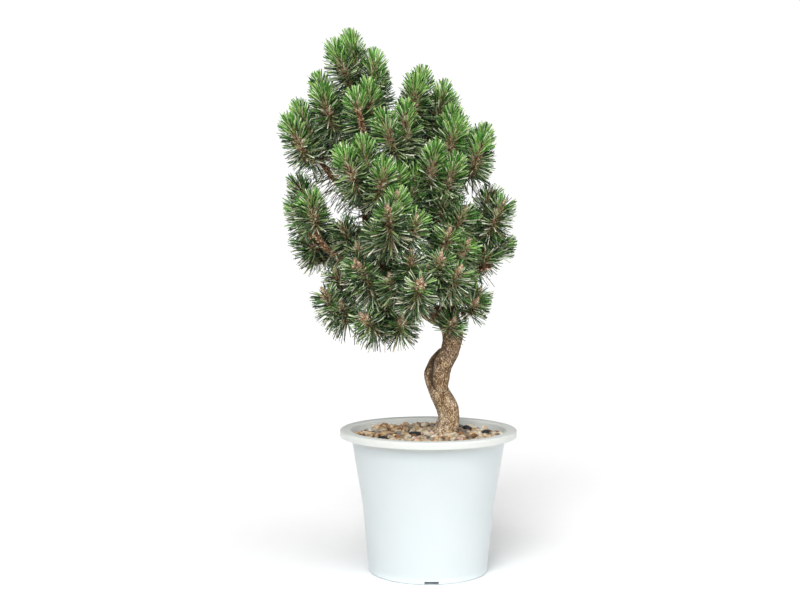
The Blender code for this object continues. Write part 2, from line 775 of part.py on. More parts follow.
def fit_cores(room, fitted):
    """Drop the side sprays whose core would touch something, and take the room of the rest."""
    for name, shoots in fitted.items():
        allowed = [name, f"bough_{name}_tip"]
        clear = [room.free(spray.core_rods(), allowed) for _, spray in shoots]
        fitted[name] = [pair for index, pair in enumerate(shoots) if clear[index] or index == 0]
        for index, (_, spray) in enumerate(fitted[name]):
            room.take(spray.core_rods(), f"{name}_{index}")


def fit_needles(room, fitted):
    """Give each spray the longest needles that keep clear, one ring at a time from the tips down."""
    most_rings = max(spray.rings for shoots in fitted.values() for _, spray in shoots)
    for level in range(most_rings + 1):
        for name, shoots in fitted.items():
            for index, (_, spray) in enumerate(shoots):
                ring = spray.rings - level
                if ring < 0:
                    continue
                for side in range(SPRAY_SIDES if level else 1):
                    spray.add_needle(room, ring, side, [name, f"{name}_{index}"])


def fitted_masses():
    """The twigs and sprays of every mass, fitted round the limbs and each other."""
    room = Room()
    for stations in (LEADER, LOWER_TRUNK, RIGHT_LEADER):
        room.take(rods_along(through(stations, TRUNK_STEP)), "trunk")
    for name, row in BOUGHS.items():
        rods = rods_along(bough_path(*row))
        room.take(rods[:-1], "bough_" + name)
        room.take(rods[-1:], "bough_" + name + "_tip")
    fitted = fit_twigs(room)
    fit_cores(room, fitted)
    fit_needles(room, fitted)
    return fitted


def make_masses(look, trunk_cutter):
    """Every mass of needles, each one solid that keeps clear of the limbs and the other masses."""
    for name, shoots in fitted_masses().items():
        pieces = []
        for index, (twig, spray) in enumerate(shoots):
            if index:
                twig[0, :3] -= unit(twig[1, :3] - twig[0, :3]) * TWIG_ROOT
            wood = tube(twig, STEM_SIDES if index == 0 else TWIG_SIDES)
            pieces.append(add_object(f"twig_{name}_{index}", *wood, look))
            pieces.append(add_object(f"spray_{name}_{index}", *spray.mesh(), look))
        mass = pieces[0]
        mass.name = "needles_" + name
        combine(mass, pieces[1:], "UNION", "MANIFOLD")
        combine(mass, [carrier_cutter(name, look, trunk_cutter)], "DIFFERENCE", "MANIFOLD")
        drop_scraps(mass)


def make_boughs(look, trunk_cutter):
    """Each bough, cut to sit against the trunk."""
    for name, row in BOUGHS.items():
        bough = add_object("bough_" + name, *tube(bough_path(*row), BOUGH_SIDES), look)
        combine(bough, [linked_copy(trunk_cutter)], "DIFFERENCE")
        shade_round(bough, 70)


def trunk_cutter_object(look):
    """The trunk a little swollen, as one hidden cutter that leaves the gap round it."""
    leader, foot, right = trunk_pieces(look, GAP)
    leader.name = "trunk_clearance"
    combine(leader, [foot, right], "UNION")
    leader.hide_render = True
    leader.display_type = "WIRE"
    return leader


for old in list(bpy.data.objects):
    bpy.data.objects.remove(old)

plastic = material("white pot plastic", (0.84, 0.90, 0.91), 0.4)
potting_mix = material("potting mix", (0.06, 0.04, 0.03), 0.95)
stones = material("river gravel", (0.46, 0.36, 0.26), 0.8)
bark = material("pine bark", (0.30, 0.19, 0.11), 0.9)
needle_green = material("pine needles", (0.06, 0.17, 0.03), 0.55)

make_pot(plastic)
make_soil(potting_mix)
make_trunk(bark)
clearance = trunk_cutter_object(bark)
make_gravel(stones, linked_copy(clearance))
make_boughs(bark, clearance)
make_masses(needle_green, clearance)
bpy.data.objects.remove(clearance)
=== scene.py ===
"""A dwarf mountain pine in a white plastic pot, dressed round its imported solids.

Sizes are in millimetres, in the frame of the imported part: +Z is up, the side that faces the viewer is
-Y, and the origin is the centre of the pot's flat underside. The limbs and the sprays of needles are
grown here by the same rule that makes the solids, and are carried on to finer shoots.
"""

import math
import random

import bpy
import bmesh
import numpy as np
from mathutils import Matrix, Vector, kdtree, noise


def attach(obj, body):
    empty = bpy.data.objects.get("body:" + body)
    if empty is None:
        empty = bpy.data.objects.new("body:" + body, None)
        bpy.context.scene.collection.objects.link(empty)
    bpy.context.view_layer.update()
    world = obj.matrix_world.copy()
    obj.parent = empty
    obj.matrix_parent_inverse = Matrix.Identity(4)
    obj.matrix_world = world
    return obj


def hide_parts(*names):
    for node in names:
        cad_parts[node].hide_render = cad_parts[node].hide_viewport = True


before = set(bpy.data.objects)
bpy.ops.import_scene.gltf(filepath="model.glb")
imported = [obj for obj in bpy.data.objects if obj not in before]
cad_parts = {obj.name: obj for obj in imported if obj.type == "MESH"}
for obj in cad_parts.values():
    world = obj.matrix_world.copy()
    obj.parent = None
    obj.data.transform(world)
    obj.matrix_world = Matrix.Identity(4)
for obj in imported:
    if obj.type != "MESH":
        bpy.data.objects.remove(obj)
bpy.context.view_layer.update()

# Pot
# A round nursery pot of white polypropylene, injection moulded in one piece. Its rim is turned over and
# down to stiffen it, its wall has two tapers, and it stands on a thin foot ring with four notches that
# let water out from under the floor.
MM = 0.001
POT_HEIGHT = 218
WALL = 2
RIM_RADIUS = 135
RIM_DROP = 10.5
RIM_DRAFT = 0.6
MOUTH_RADIUS = 119
SHOULDER_RADIUS = 119.5
WAIST_RADIUS = 100.5
WAIST_HEIGHT = 106
FOOT_RADIUS = 90.5
FOOT_EDGE = 2.5
FOOT_RING = 3
CHANNEL_HEIGHT = 5.5
PAD_RADIUS = 58
POT_SIDES = 160
NOTCH_WIDTH = 21
NOTCH_DEPTH = 8
NOTCH_COUNT = 4
NOTCH_BEARING = math.radians(-88)
DRAIN_HOLE_RADIUS = 6
DRAIN_HOLE_SIDES = 24
DRAIN_HOLE_COUNT = 8
DRAIN_HOLE_CIRCLE = 73
CORNER_PARTS = 5
LONGEST_FILLET = 0.48
SHARP_ANGLE = math.radians(38)


def paint(code):
    """The linear colour of an sRGB hex code, with full alpha."""
    shares = [int(code[place:place + 2], 16) / 255 for place in (1, 3, 5)]
    return (*[s / 12.92 if s <= 0.04045 else ((s + 0.055) / 1.055) ** 2.4 for s in shares], 1)


def node(tree, kind, settings=None, links=None, output=0):
    """Add one shader node with its settings, a ramp's stops and hex colours among them, link outputs to
    its inputs, and give back one of its own outputs.
    """
    made = tree.nodes.new("ShaderNode" + kind)
    for name, value in (settings or {}).items():
        if name == "stops":
            ramp = made.color_ramp.elements
            while len(ramp) < len(value):
                ramp.new(0.5)
            for stop, (place, code) in zip(ramp, value):
                stop.position = place
                stop.color = paint(code)
        elif name in made.inputs:
            made.inputs[name].default_value = paint(value) if str(value).startswith("#") else value
        else:
            setattr(made, name, value)
    for name, source in (links or {}).items():
        tree.links.new(source, made.inputs[name])
    return made.outputs[output]


def per(size):
    """The scale of a pattern whose features are a size in millimetres."""
    return 1 / (size * MM)


def surface(name, **settings):
    """A new material with its shader's settings, its tree of nodes and the object's own coordinates."""
    made = bpy.data.materials.new(name)
    made.use_nodes = True
    shader = made.node_tree.nodes["Principled BSDF"]
    for key, value in settings.items():
        shader.inputs[key.replace("_", " ")].default_value = value
    return made, made.node_tree, node(made.node_tree, "TexCoord", output="Object")


def coat(made, colour, bump=None):
    """The material, with a colour and a bump linked to its shader."""
    tree = made.node_tree
    shader = tree.nodes["Principled BSDF"]
    tree.links.new(colour, shader.inputs["Base Color"])
    if bump is not None:
        tree.links.new(bump, shader.inputs["Normal"])
    return made


def piece_from(name, points, faces, material):
    """A piece from points in millimetres."""
    mesh = bpy.data.meshes.new(name)
    mesh.from_pydata(np.asarray(points, dtype=float) * MM, [], faces)
    mesh.materials.append(material)
    made = bpy.data.objects.new(name, mesh)
    bpy.context.scene.collection.objects.link(made)
    return made


def settle(piece, nodes):
    """The piece rides with the part and stands for its nodes, which it hides."""
    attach(piece, "root")
    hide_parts(*nodes)


def wall_radius(height, inset=0.0):
    """The pot's outer radius at a height, less an inset."""
    heights = (0, WAIST_HEIGHT, POT_HEIGHT)
    return np.interp(height, heights, (FOOT_RADIUS, WAIST_RADIUS, SHOULDER_RADIUS)) - inset


def rounded(corners):
    """An outline through (radius, height, fillet) corners, each turned by a small curve."""
    line = []
    for before, corner, after in zip([corners[0], *corners], corners, [*corners[1:], corners[-1]]):
        point = np.array(corner[:2], dtype=float)
        fillet = corner[2]
        if not fillet:
            line.append(point)
            continue
        ways = [np.array(other[:2]) - point for other in (before, after)]
        ends = [point + way * min(fillet / np.linalg.norm(way), LONGEST_FILLET) for way in ways]
        for t in np.linspace(0, 1, CORNER_PARTS):
            line.append((1 - t) ** 2 * ends[0] + 2 * t * (1 - t) * point + t**2 * ends[1])
    return line


def turned(line, sides):
    """Points and faces of an outline of (radius, height) turned about the vertical axis."""
    angles = np.arange(sides) * math.tau / sides
    points = []
    rings = []
    for radius, height in line:
        start = len(points)
        if radius < 1e-6:
            points.append((0, 0, height))
            rings.append([start] * sides)
        else:
            points.extend((radius * math.cos(a), radius * math.sin(a), height) for a in angles)
            rings.append(range(start, start + sides))
    faces = []
    for lower, upper in zip(rings, rings[1:]):
        for side in range(sides):
            after = (side + 1) % sides
            corners = (upper[side], upper[after], lower[after], lower[side])
            faces.append(tuple(dict.fromkeys(corners)))
    return points, faces


def cut_out(piece, cutters):
    """Cut the cutters out of a piece, and remove them."""
    group = bpy.data.collections.new("cutters")
    bpy.context.scene.collection.children.link(group)
    for shape in cutters:
        group.objects.link(shape)
    boolean = piece.modifiers.new("cut", "BOOLEAN")
    boolean.operand_type = "COLLECTION"
    boolean.collection = group
    fix_modifiers(piece)
    for shape in cutters:
        bpy.data.objects.remove(shape)
    bpy.data.collections.remove(group)


def fix_modifiers(piece):
    """Keep a piece's mesh as its modifiers leave it, and drop them."""
    bpy.context.view_layer.update()
    evaluated = piece.evaluated_get(bpy.context.evaluated_depsgraph_get())
    mesh = bpy.data.meshes.new_from_object(evaluated)
    piece.modifiers.clear()
    piece.data = mesh


def white_polypropylene():
    """White polypropylene straight from a fine-grained mould: even, slightly satin, softly lit through,
    creamier and darker at the rim, where the darkening is painted shade against the strong light on it,
    with a few flecks of potting mix.
    """
    made, tree, place = surface(
        "white_polypropylene_moulded", Roughness=0.38, IOR=1.49, Subsurface_Weight=0.6,
        Subsurface_Radius=(0.9, 0.95, 1.0), Subsurface_Scale=0.012,
    )
    clouds = node(tree, "TexNoise", {"Scale": per(70), "Detail": 3}, {"Vector": place})
    tint = node(tree, "MixRGB", {"Color1": "#DAEAEF", "Color2": "#E4EFF2"}, {"Fac": clouds})
    height = node(tree, "SeparateXYZ", links={"Vector": place}, output="Z")
    # The top band of the pot is mixed to a creamier grey: partly its own tone, partly painted shade that
    # darkens it against the strong light from above
    aged = node(tree, "MapRange", {"From Min": (POT_HEIGHT - 2 * RIM_DROP) * MM,
                                   "From Max": (POT_HEIGHT - RIM_DROP) * MM}, {"Value": height})
    rim_cream_and_shade = node(tree, "MixRGB", {"Color2": "#D3D6D1"}, {"Fac": aged, "Color1": tint})
    flecks = node(tree, "TexVoronoi", {"Scale": per(18)}, {"Vector": place})
    speck = node(tree, "MapRange", {"From Min": 0.03, "From Max": 0.045, "To Min": 0.5, "To Max": 0},
                 {"Value": flecks})
    patches = node(tree, "TexNoise", {"Scale": per(110), "Detail": 2}, {"Vector": place})
    rare = node(tree, "MapRange", {"From Min": 0.6, "From Max": 0.64}, {"Value": patches})
    dirt = node(tree, "Math", {"operation": "MULTIPLY"}, {0: speck, 1: rare})
    colour = node(tree, "MixRGB", {"Color2": "#8E8470"}, {"Fac": dirt, "Color1": rim_cream_and_shade})
    # The mould's grain, and slow waves that show how the wall cooled
    grain = node(tree, "TexNoise", {"Scale": per(0.5), "Detail": 2}, {"Vector": place})
    waves = node(tree, "TexNoise", {"Scale": per(40), "Detail": 1}, {"Vector": place})
    soft = node(tree, "Bump", {"Strength": 0.25, "Distance": 0.0012}, {"Height": waves})
    fine = node(tree, "Bump", {"Strength": 0.12, "Distance": 0.0001}, {"Height": grain, "Normal": soft})
    return coat(made, colour, fine)


def pot_outline():
    """The pot's outline from the middle of its floor, up inside, over the rim and down outside."""
    floor = CHANNEL_HEIGHT + WALL
    under_rim = POT_HEIGHT - WALL
    skirt = RIM_RADIUS - RIM_DRAFT
    ring = FOOT_RADIUS - FOOT_EDGE - FOOT_RING
    return rounded([
        (0, WALL, 0),
        (PAD_RADIUS - WALL, WALL, 1.5),
        (PAD_RADIUS, floor, 1.5),
        (wall_radius(floor, WALL), floor, 3),
        (wall_radius(WAIST_HEIGHT, WALL), WAIST_HEIGHT, 8),
        (wall_radius(under_rim, WALL), under_rim, 1.5),
        (MOUTH_RADIUS, POT_HEIGHT, 1.6),
        (RIM_RADIUS, POT_HEIGHT, 3.6),
        (skirt, POT_HEIGHT - RIM_DROP, 0.8),
        (skirt - WALL, POT_HEIGHT - RIM_DROP, 0.5),
        (skirt - WALL + RIM_DRAFT / 2, under_rim, 1.5),
        (wall_radius(under_rim), under_rim, 1.5),
        (wall_radius(WAIST_HEIGHT), WAIST_HEIGHT, 10),
        (wall_radius(FOOT_EDGE), FOOT_EDGE, 1.2),
        (FOOT_RADIUS - FOOT_EDGE, 0, 1.2),
        (ring, 0, 0.5),
        (ring, CHANNEL_HEIGHT, 1),
        (PAD_RADIUS + WALL, CHANNEL_HEIGHT, 1),
        (PAD_RADIUS, 0, 1),
        (0, 0, 0),
    ])


def cutter(make, place, **sizes):
    """A closed shape that cuts, from an operator that makes it and the matrix that places it."""
    bm = bmesh.new()
    make(bm, **sizes)
    bmesh.ops.transform(bm, verts=bm.verts, matrix=place)
    mesh = bpy.data.meshes.new("cutter")
    bm.to_mesh(mesh)
    bm.free()
    return bpy.data.objects.new("cutter", mesh)


def pot_cutters():
    """The notches in the foot ring and the drain holes in the floor."""
    cutters = []
    stretch = Matrix.Diagonal((2 * NOTCH_DEPTH * MM, NOTCH_WIDTH * MM, 2 * CHANNEL_HEIGHT * MM, 1))
    for index in range(NOTCH_COUNT):
        turn = Matrix.Rotation(NOTCH_BEARING + math.tau * index / NOTCH_COUNT, 4, "Z")
        place = turn @ Matrix.Translation((FOOT_RADIUS * MM, 0, 0)) @ stretch
        cutters.append(cutter(bmesh.ops.create_cube, place, size=1))
    for index in range(DRAIN_HOLE_COUNT):
        turn = Matrix.Rotation(math.tau * (index + 0.5) / DRAIN_HOLE_COUNT, 4, "Z")
        place = Matrix.Translation(turn @ Vector((DRAIN_HOLE_CIRCLE, 0, CHANNEL_HEIGHT)) * MM)
        cutters.append(cutter(
            bmesh.ops.create_cone, place, cap_ends=True, segments=DRAIN_HOLE_SIDES,
            radius1=DRAIN_HOLE_RADIUS * MM, radius2=DRAIN_HOLE_RADIUS * MM, depth=4 * CHANNEL_HEIGHT * MM,
        ))
    return cutters


pot_shell = piece_from("pot_shell", *turned(pot_outline(), POT_SIDES), white_polypropylene())
cut_out(pot_shell, pot_cutters())
pot_shell.data.shade_smooth()
pot_shell.data.set_sharp_from_angle(angle=SHARP_ANGLE)
settle(pot_shell, ["pot"])

# Potting mix
# Damp peat and bark compost, pressed in by hand. It shows only between the pebbles and in the drain
# holes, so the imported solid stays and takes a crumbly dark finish.


def damp_compost():
    """Damp compost: nearly black crumbs a few millimetres wide that swallow the light."""
    made, tree, place = surface("potting_compost_damp", Roughness=0.95)
    crumbs = node(tree, "TexNoise", {"Scale": per(3), "Detail": 6, "Roughness": 0.7}, {"Vector": place})
    colour = node(tree, "MixRGB", {"Color1": "#1D1510", "Color2": "#57432F"}, {"Fac": crumbs})
    return coat(made, colour, node(tree, "Bump", {"Strength": 1, "Distance": 0.002}, {"Height": crumbs}))


potting_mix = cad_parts["potting_mix"]
potting_mix.data.materials.clear()
potting_mix.data.materials.append(damp_compost())

# Gravel
# Rounded river gravel of mixed stone, 6 to 20 mm, poured on the compost. The main pebbles lie where the
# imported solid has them, smaller ones fill in between and below. All are worn balls with a few flats,
# joined by colour, and the colours are those of quartz, sandstone, granite and slate.
GAP = 0.3
SOIL_TOP = 201
GRAVEL_TOP = 212
GRAVEL_SEED = 5
PEBBLE_COUNT = 290
PEBBLE_JITTER = 2
PEBBLE_RISE = 3
PEBBLE_EDGE = 5
SMALLEST_PEBBLE = 11.5
LARGEST_PEBBLE = 18
FILL_COUNT = 620
SMALLEST_FILL = 6
LARGEST_FILL = 10
FILL_DEPTH = 7
FILL_TURN = 1
PEBBLE_GRADING = (1.4, 2.6)
FILL_GRADING = (1.2, 1.6)
# How a ball is worn to a pebble: flats, where they lie and what they take off, length, width, height
# and tilt
PEBBLE_FLATS = 8
FLAT_LEVELS = (0.55, 0.9)
FLAT_WEAR = 0.8
PEBBLE_LENGTHS = (1, 1.2)
PEBBLE_WIDTHS = (0.78, 0.95)
PEBBLE_FLATNESS = 0.74
PEBBLE_TILT = 0.35
TRUNK_FOOT = np.array((26, 10))
TRUNK_FOOT_RADIUS = 14
CLEAR_SHARE = 0.3
GOLDEN_TURN = math.radians(137.5)
# Share of the pebbles, lighter colour and darker colour of each kind of stone
STONES = {
    "tan_sandstone": (0.26, "#F2D0A4", "#9A7048"),
    "cream_quartz": (0.22, "#FFF6E4", "#C8B08C"),
    "beige_limestone": (0.22, "#EAD8BA", "#967E5E"),
    "brown_ironstone": (0.13, "#A2764E", "#4A3226"),
    "pink_granite": (0.06, "#F0D2C0", "#A67E6C"),
    "ochre_sandstone": (0.03, "#EEC484", "#AC844C"),
    "grey_basalt": (0.06, "#968E84", "#4C4842"),
    "black_slate": (0.02, "#26282D", "#121316"),
}
# Where a large black stone lies on top, which the viewer sees
BLACK_SPOTS = ((-24, -16), (60, 52), (92, -2), (-70, -58))
BLACK_SIZE = 20


def worn_stone(name, light, dark):
    """Water-worn stone, dull on top and darkened lower down by painted shade, where it lies in the gaps
    between pebbles: no two alike, with patches of some 9 mm and grains of 0.7 mm.
    """
    made, tree, place = surface(name + "_water_worn", Roughness=0.75, IOR=1.52)
    blotches = node(tree, "TexNoise", {"Scale": per(9), "Detail": 6, "Roughness": 0.6}, {"Vector": place})
    grains = node(tree, "TexNoise", {"Scale": per(0.7), "Detail": 2}, {"Vector": place})
    base = node(tree, "ValToRGB", {"stops": ((0.38, dark), (0.58, light))}, {"Fac": blotches})
    speck = node(tree, "ValToRGB", {"stops": ((0.3, "#A8A8A8"), (0.6, "#FFFFFF"))}, {"Fac": grains})
    grained = node(tree, "MixRGB", {"blend_type": "MULTIPLY", "Fac": 1}, {"Color1": base, "Color2": speck})
    height = node(tree, "SeparateXYZ", links={"Vector": place}, output="Z")
    # Painted shade: stone below the tops of the pebbles, and the small stones sunk between them, are
    # darkened towards near black
    low_painted_shade = node(tree, "MapRange", {"From Min": (GRAVEL_TOP - 2 * PEBBLE_RISE) * MM,
                                   "From Max": (GRAVEL_TOP - PEBBLE_RISE / 2) * MM,
                                   "To Min": 0.9, "To Max": 0}, {"Value": height})
    colour = node(tree, "MixRGB", {"Color2": "#2A1F16"}, {"Fac": low_painted_shade, "Color1": grained})
    relief = node(tree, "Bump", {"Strength": 0.6, "Distance": 0.0006}, {"Height": blotches})
    return coat(made, colour, relief)


def ball(subdivisions):
    """The points and triangles of a ball of radius 1."""
    bm = bmesh.new()
    bmesh.ops.create_icosphere(bm, subdivisions=subdivisions, radius=1)
    points = np.array([vert.co for vert in bm.verts])
    faces = np.array([[vert.index for vert in face.verts] for face in bm.faces])
    bm.free()
    return points, faces


def unit(vectors):
    """A vector, or each row of several, at length 1."""
    return vectors / np.linalg.norm(vectors, axis=-1, keepdims=True)


def pebble(rng, size, shape):
    """The points of one pebble about its middle: a ball worn flat on a few sides and squashed."""
    points = shape.copy()
    for _ in range(PEBBLE_FLATS):
        way = unit(rng.normal(size=3))
        proud = np.maximum(points @ way - rng.uniform(*FLAT_LEVELS), 0)
        points -= np.outer(proud * FLAT_WEAR, way)
    points *= np.array((rng.uniform(*PEBBLE_LENGTHS), rng.uniform(*PEBBLE_WIDTHS), PEBBLE_FLATNESS))
    turn = Matrix.Rotation(rng.uniform(0, math.tau), 3, "Z")
    tilt = Matrix.Rotation(rng.normal(0, PEBBLE_TILT), 3, "X")
    return points @ np.array(turn @ tilt).T * size / 2


def pebble_tops():
    """The top of each main pebble, on a spiral from the middle of the gravel outwards."""
    rng = random.Random(GRAVEL_SEED)
    reach = wall_radius(SOIL_TOP, WALL + GAP) - PEBBLE_EDGE
    tops = []
    for index in range(PEBBLE_COUNT):
        radius = reach * math.sqrt((index + 0.5) / PEBBLE_COUNT)
        angle = index * GOLDEN_TURN
        x = radius * math.cos(angle) + rng.uniform(-PEBBLE_JITTER, PEBBLE_JITTER)
        y = radius * math.sin(angle) + rng.uniform(-PEBBLE_JITTER, PEBBLE_JITTER)
        tops.append((x, y, GRAVEL_TOP + rng.uniform(-PEBBLE_RISE, PEBBLE_RISE)))
    return tops


rng = np.random.default_rng(GRAVEL_SEED)
tops = pebble_tops()
fine_ball = ball(3)
coarse_ball = ball(2)
grades = SMALLEST_PEBBLE + (LARGEST_PEBBLE - SMALLEST_PEBBLE) * rng.beta(*PEBBLE_GRADING, len(tops))
places = [(top, size, fine_ball) for top, size in zip(tops, grades)]
black = [min(tops, key=lambda top: math.dist(top[:2], spot)) for spot in BLACK_SPOTS]
for index in range(FILL_COUNT):
    size = rng.uniform(SMALLEST_FILL, LARGEST_FILL)
    radius = (wall_radius(SOIL_TOP, WALL) - size / 2) * math.sqrt((index + 0.5) / FILL_COUNT)
    bearing = index * GOLDEN_TURN + FILL_TURN
    height = GRAVEL_TOP - 2 * PEBBLE_RISE - FILL_DEPTH * rng.beta(*FILL_GRADING)
    places.append(((radius * math.cos(bearing), radius * math.sin(bearing), height), size, coarse_ball))
poured = {name: [] for name in STONES}
for top, size, (shape, faces) in places:
    kind = list(STONES)[rng.choice(len(STONES), p=[row[0] for row in STONES.values()])]
    if top in black:
        kind, size = "black_slate", BLACK_SIZE
        top = (*top[:2], GRAVEL_TOP + PEBBLE_RISE)
    stone = pebble(rng, size, shape)
    stone += (top[0], top[1], top[2] - stone[:, 2].max())
    if np.linalg.norm(top[:2] - TRUNK_FOOT) > TRUNK_FOOT_RADIUS + size * CLEAR_SHARE:
        poured[kind].append((stone, faces))
for name, stones in poured.items():
    starts = np.cumsum([0] + [len(stone) for stone, _ in stones])
    faces = np.concatenate([faces + start for (_, faces), start in zip(stones, starts)])
    points = np.concatenate([stone for stone, _ in stones])
    pebbles = piece_from(name + "_pebbles", points, faces, worn_stone(name, *STONES[name][1:]))
    pebbles.data.shade_smooth()
    settle(pebbles, ["gravel"])

# Trunk and boughs
# The trunk of a mountain pine that was bent young: the foot curls to the left and ends as a worn
# shoulder, the main stem rises from in front of it, and a second leader forks off behind. Each limb is
# a tapering tube, all of them are fused into one skin, and the bark's flakes are raised out of it.
LOWER_TRUNK = (
    (26, 10, SOIL_TOP + GAP, 23),
    (26, 10, 213, 19),
    (32, 10, 232, 16.5),
    (28, 9, 252, 16.5),
    (16, 7, 275, 15.5),
    (9, 9, 297, 15),
    (13, 15, 318, 11.5),
    (22, 14, 338, 5.5),
)
LEADER = (
    (21, 4, 268, 9),
    (17, 0, 290, 14),
    (22, 0, 314, 14.5),
    (33, 1, 338, 14.5),
    (37, -1, 362, 16),
    (29, 2, 384, 16.5),
    (5, 12, 395, 14.5),
    (-36, 25, 423, 11),
    (-58, 21, 470, 10.5),
    (-88, 20, 518, 9.5),
    (-94, 25, 570, 8.5),
    (-105, 26, 632, 7),
    (-110, 12, 672, 5.4),
    (-109, 3, 708, 4.2),
)
RIGHT_LEADER = (
    (37, 0, 368, 11),
    (37, 8, 396, 9.5),
    (29, 28, 446, 8),
    (18, 40, 495, 7.5),
    (3, 41, 570, 6.5),
    (-4, 34, 645, 5),
    (-8, 24, 668, 4),
)
# Boughs: the stem each grows from, the height where it leaves, its tip, its sag, and its radius at the
# root and at the tip
BOUGHS = {
    "low_left": (LEADER, 406, (-112, -2, 380), 22, 6.5, 4),
    "small_left": (LEADER, 432, (-104, 8, 426), 8, 4.8, 3.2),
    "mid_left": (LEADER, 484, (-148, 0, 488), 14, 6.2, 4.2),
    "upper_left": (LEADER, 550, (-158, 2, 616), 4, 6, 4),
    "low_front": (LEADER, 436, (-36, -40, 430), 12, 5.5, 3.8),
    "centre_front": (LEADER, 520, (-62, -40, 520), 8, 5.8, 4.2),
    "upper_front": (LEADER, 604, (-100, -14, 596), 4, 4.8, 3.6),
    "front_right": (RIGHT_LEADER, 452, (26, -22, 448), 4, 4.8, 3.4),
    "right_low": (RIGHT_LEADER, 458, (82, 4, 464), 10, 5.6, 3.8),
    "right_mid": (RIGHT_LEADER, 500, (80, 14, 512), 6, 5.2, 3.8),
    "right_top": (RIGHT_LEADER, 590, (58, 12, 604), 4, 5, 3.6),
    "back_low": (LEADER, 420, (-46, 80, 406), 12, 5.2, 3.8),
    "back_left": (LEADER, 500, (-132, 72, 498), 12, 5.4, 3.8),
    "back_right": (RIGHT_LEADER, 478, (62, 92, 476), 10, 5.2, 3.8),
    "back_mid": (RIGHT_LEADER, 556, (-26, 98, 572), 6, 5, 3.8),
    "back_upper": (LEADER, 612, (-128, 80, 634), 4, 4.8, 3.6),
    "back_high": (RIGHT_LEADER, 604, (38, 80, 616), 4, 4.6, 3.4),
}
# A branch pruned to a stub
PRUNED_STUB = (RIGHT_LEADER, 590, (38, 4, 597), 0, 4, 3)
BOUGH_STEP = 26
BOUGH_MIDDLE = 0.55
FINE_STEP = 4
LIMB_SIDES = 32
SKIN_STEP = 1.5
SKIN_SMOOTHING = 3
FLAKE = 3.5
FLAKE_HEIGHT = 0.5
FLAKE_FADE = 1.4
LUMP = 19
LUMP_HEIGHT = 1.5
# The fold where the stem lies on the shoulder: heights, how far from it the bark is sunk and darkened with
# painted shade at each, wider higher up where the stem shades the shoulder, and how deep it is sunk
FOLD_LEVELS = (276, 288, 338)
FOLD_REACHES = (0.5, 4, 8)
FOLD_DEPTH = 1.8
THICKEST = 15
# Young wood begins at a height and is all young a rise above it, but less so where it is thick
YOUNG_FROM = 380
YOUNG_RISE = 110
OLD_LOOK = 0.4
# The bark's colours from its hollows to its worn edges: tan and grey on old wood, red on young
BARK_COLOURS = (
    ((0.36, "#1E140C"), (0.45, "#5A432E"), (0.53, "#866848"), (0.63, "#E2CAA2")),
    ((0.36, "#261A12"), (0.45, "#664F3B"), (0.53, "#947A60"), (0.63, "#ECD9BE")),
    ((0.36, "#20140D"), (0.46, "#543826"), (0.55, "#835C3E"), (0.66, "#CCA67E")),
)


def through(stations, step):
    """Points with radii along a smooth curve through (x, y, z, radius) stations."""
    rows = np.array(stations, dtype=float)
    rows = np.vstack([2 * rows[0] - rows[1], rows, 2 * rows[-1] - rows[-2]])
    path = [rows[1]]
    for before, start, end, after in zip(rows, rows[1:], rows[2:], rows[3:]):
        count = max(1, round(np.linalg.norm((end - start)[:3]) / step))
        for index in range(1, count + 1):
            t = index / count
            bend = 2 * before - 5 * start + 4 * end - after
            turn = 3 * start - before - 3 * end + after
            path.append(0.5 * (2 * start + (end - before) * t + bend * t**2 + turn * t**3))
    return np.array(path)


def on_stem(stem, height):
    """The centre and the radius of a leader at a height."""
    path = through(stem, FINE_STEP)
    return path[np.argmin(abs(path[:, 2] - height))]


def bough_path(stem, height, tip, sag, root_radius, tip_radius, step=BOUGH_STEP):
    """A bough's line from inside its stem to its tip, sagging on the way."""
    root = on_stem(stem, height)[:3]
    tip = np.array(tip, dtype=float)
    middle = root + (tip - root) * BOUGH_MIDDLE - (0, 0, sag)
    middle_radius = (root_radius + tip_radius) / 2
    stations = ((*root, root_radius), (*middle, middle_radius), (*tip, tip_radius))
    return through(stations, step)


def tube(path, sides):
    """Points and faces of a closed round limb along points with radii."""
    centres = [Vector(row[:3]) for row in path]
    points = []
    across = Vector((1, 0, 0))
    for index, centre in enumerate(centres):
        along = centres[min(index + 1, len(centres) - 1)] - centres[max(index - 1, 0)]
        along.normalize()
        across = (across - along * along.dot(across)).normalized()
        other = along.cross(across)
        for side in range(sides):
            angle = math.tau * side / sides
            out = across * math.cos(angle) + other * math.sin(angle)
            points.append(centre + out * path[index][3])
    faces = [tuple(range(sides))[::-1]]
    for ring in range(len(centres) - 1):
        low = ring * sides
        for side in range(sides):
            after = (side + 1) % sides
            faces.append((low + side, low + after, low + sides + after, low + sides + side))
    faces.append(tuple(range(len(points) - sides, len(points))))
    return points, faces


def joined(parts):
    """The points and faces of several (points, faces) pairs as one pair."""
    all_points = []
    all_faces = []
    for points, faces in parts:
        start = len(all_points)
        all_points.extend(points)
        all_faces.extend(tuple(corner + start for corner in face) for face in faces)
    return all_points, all_faces


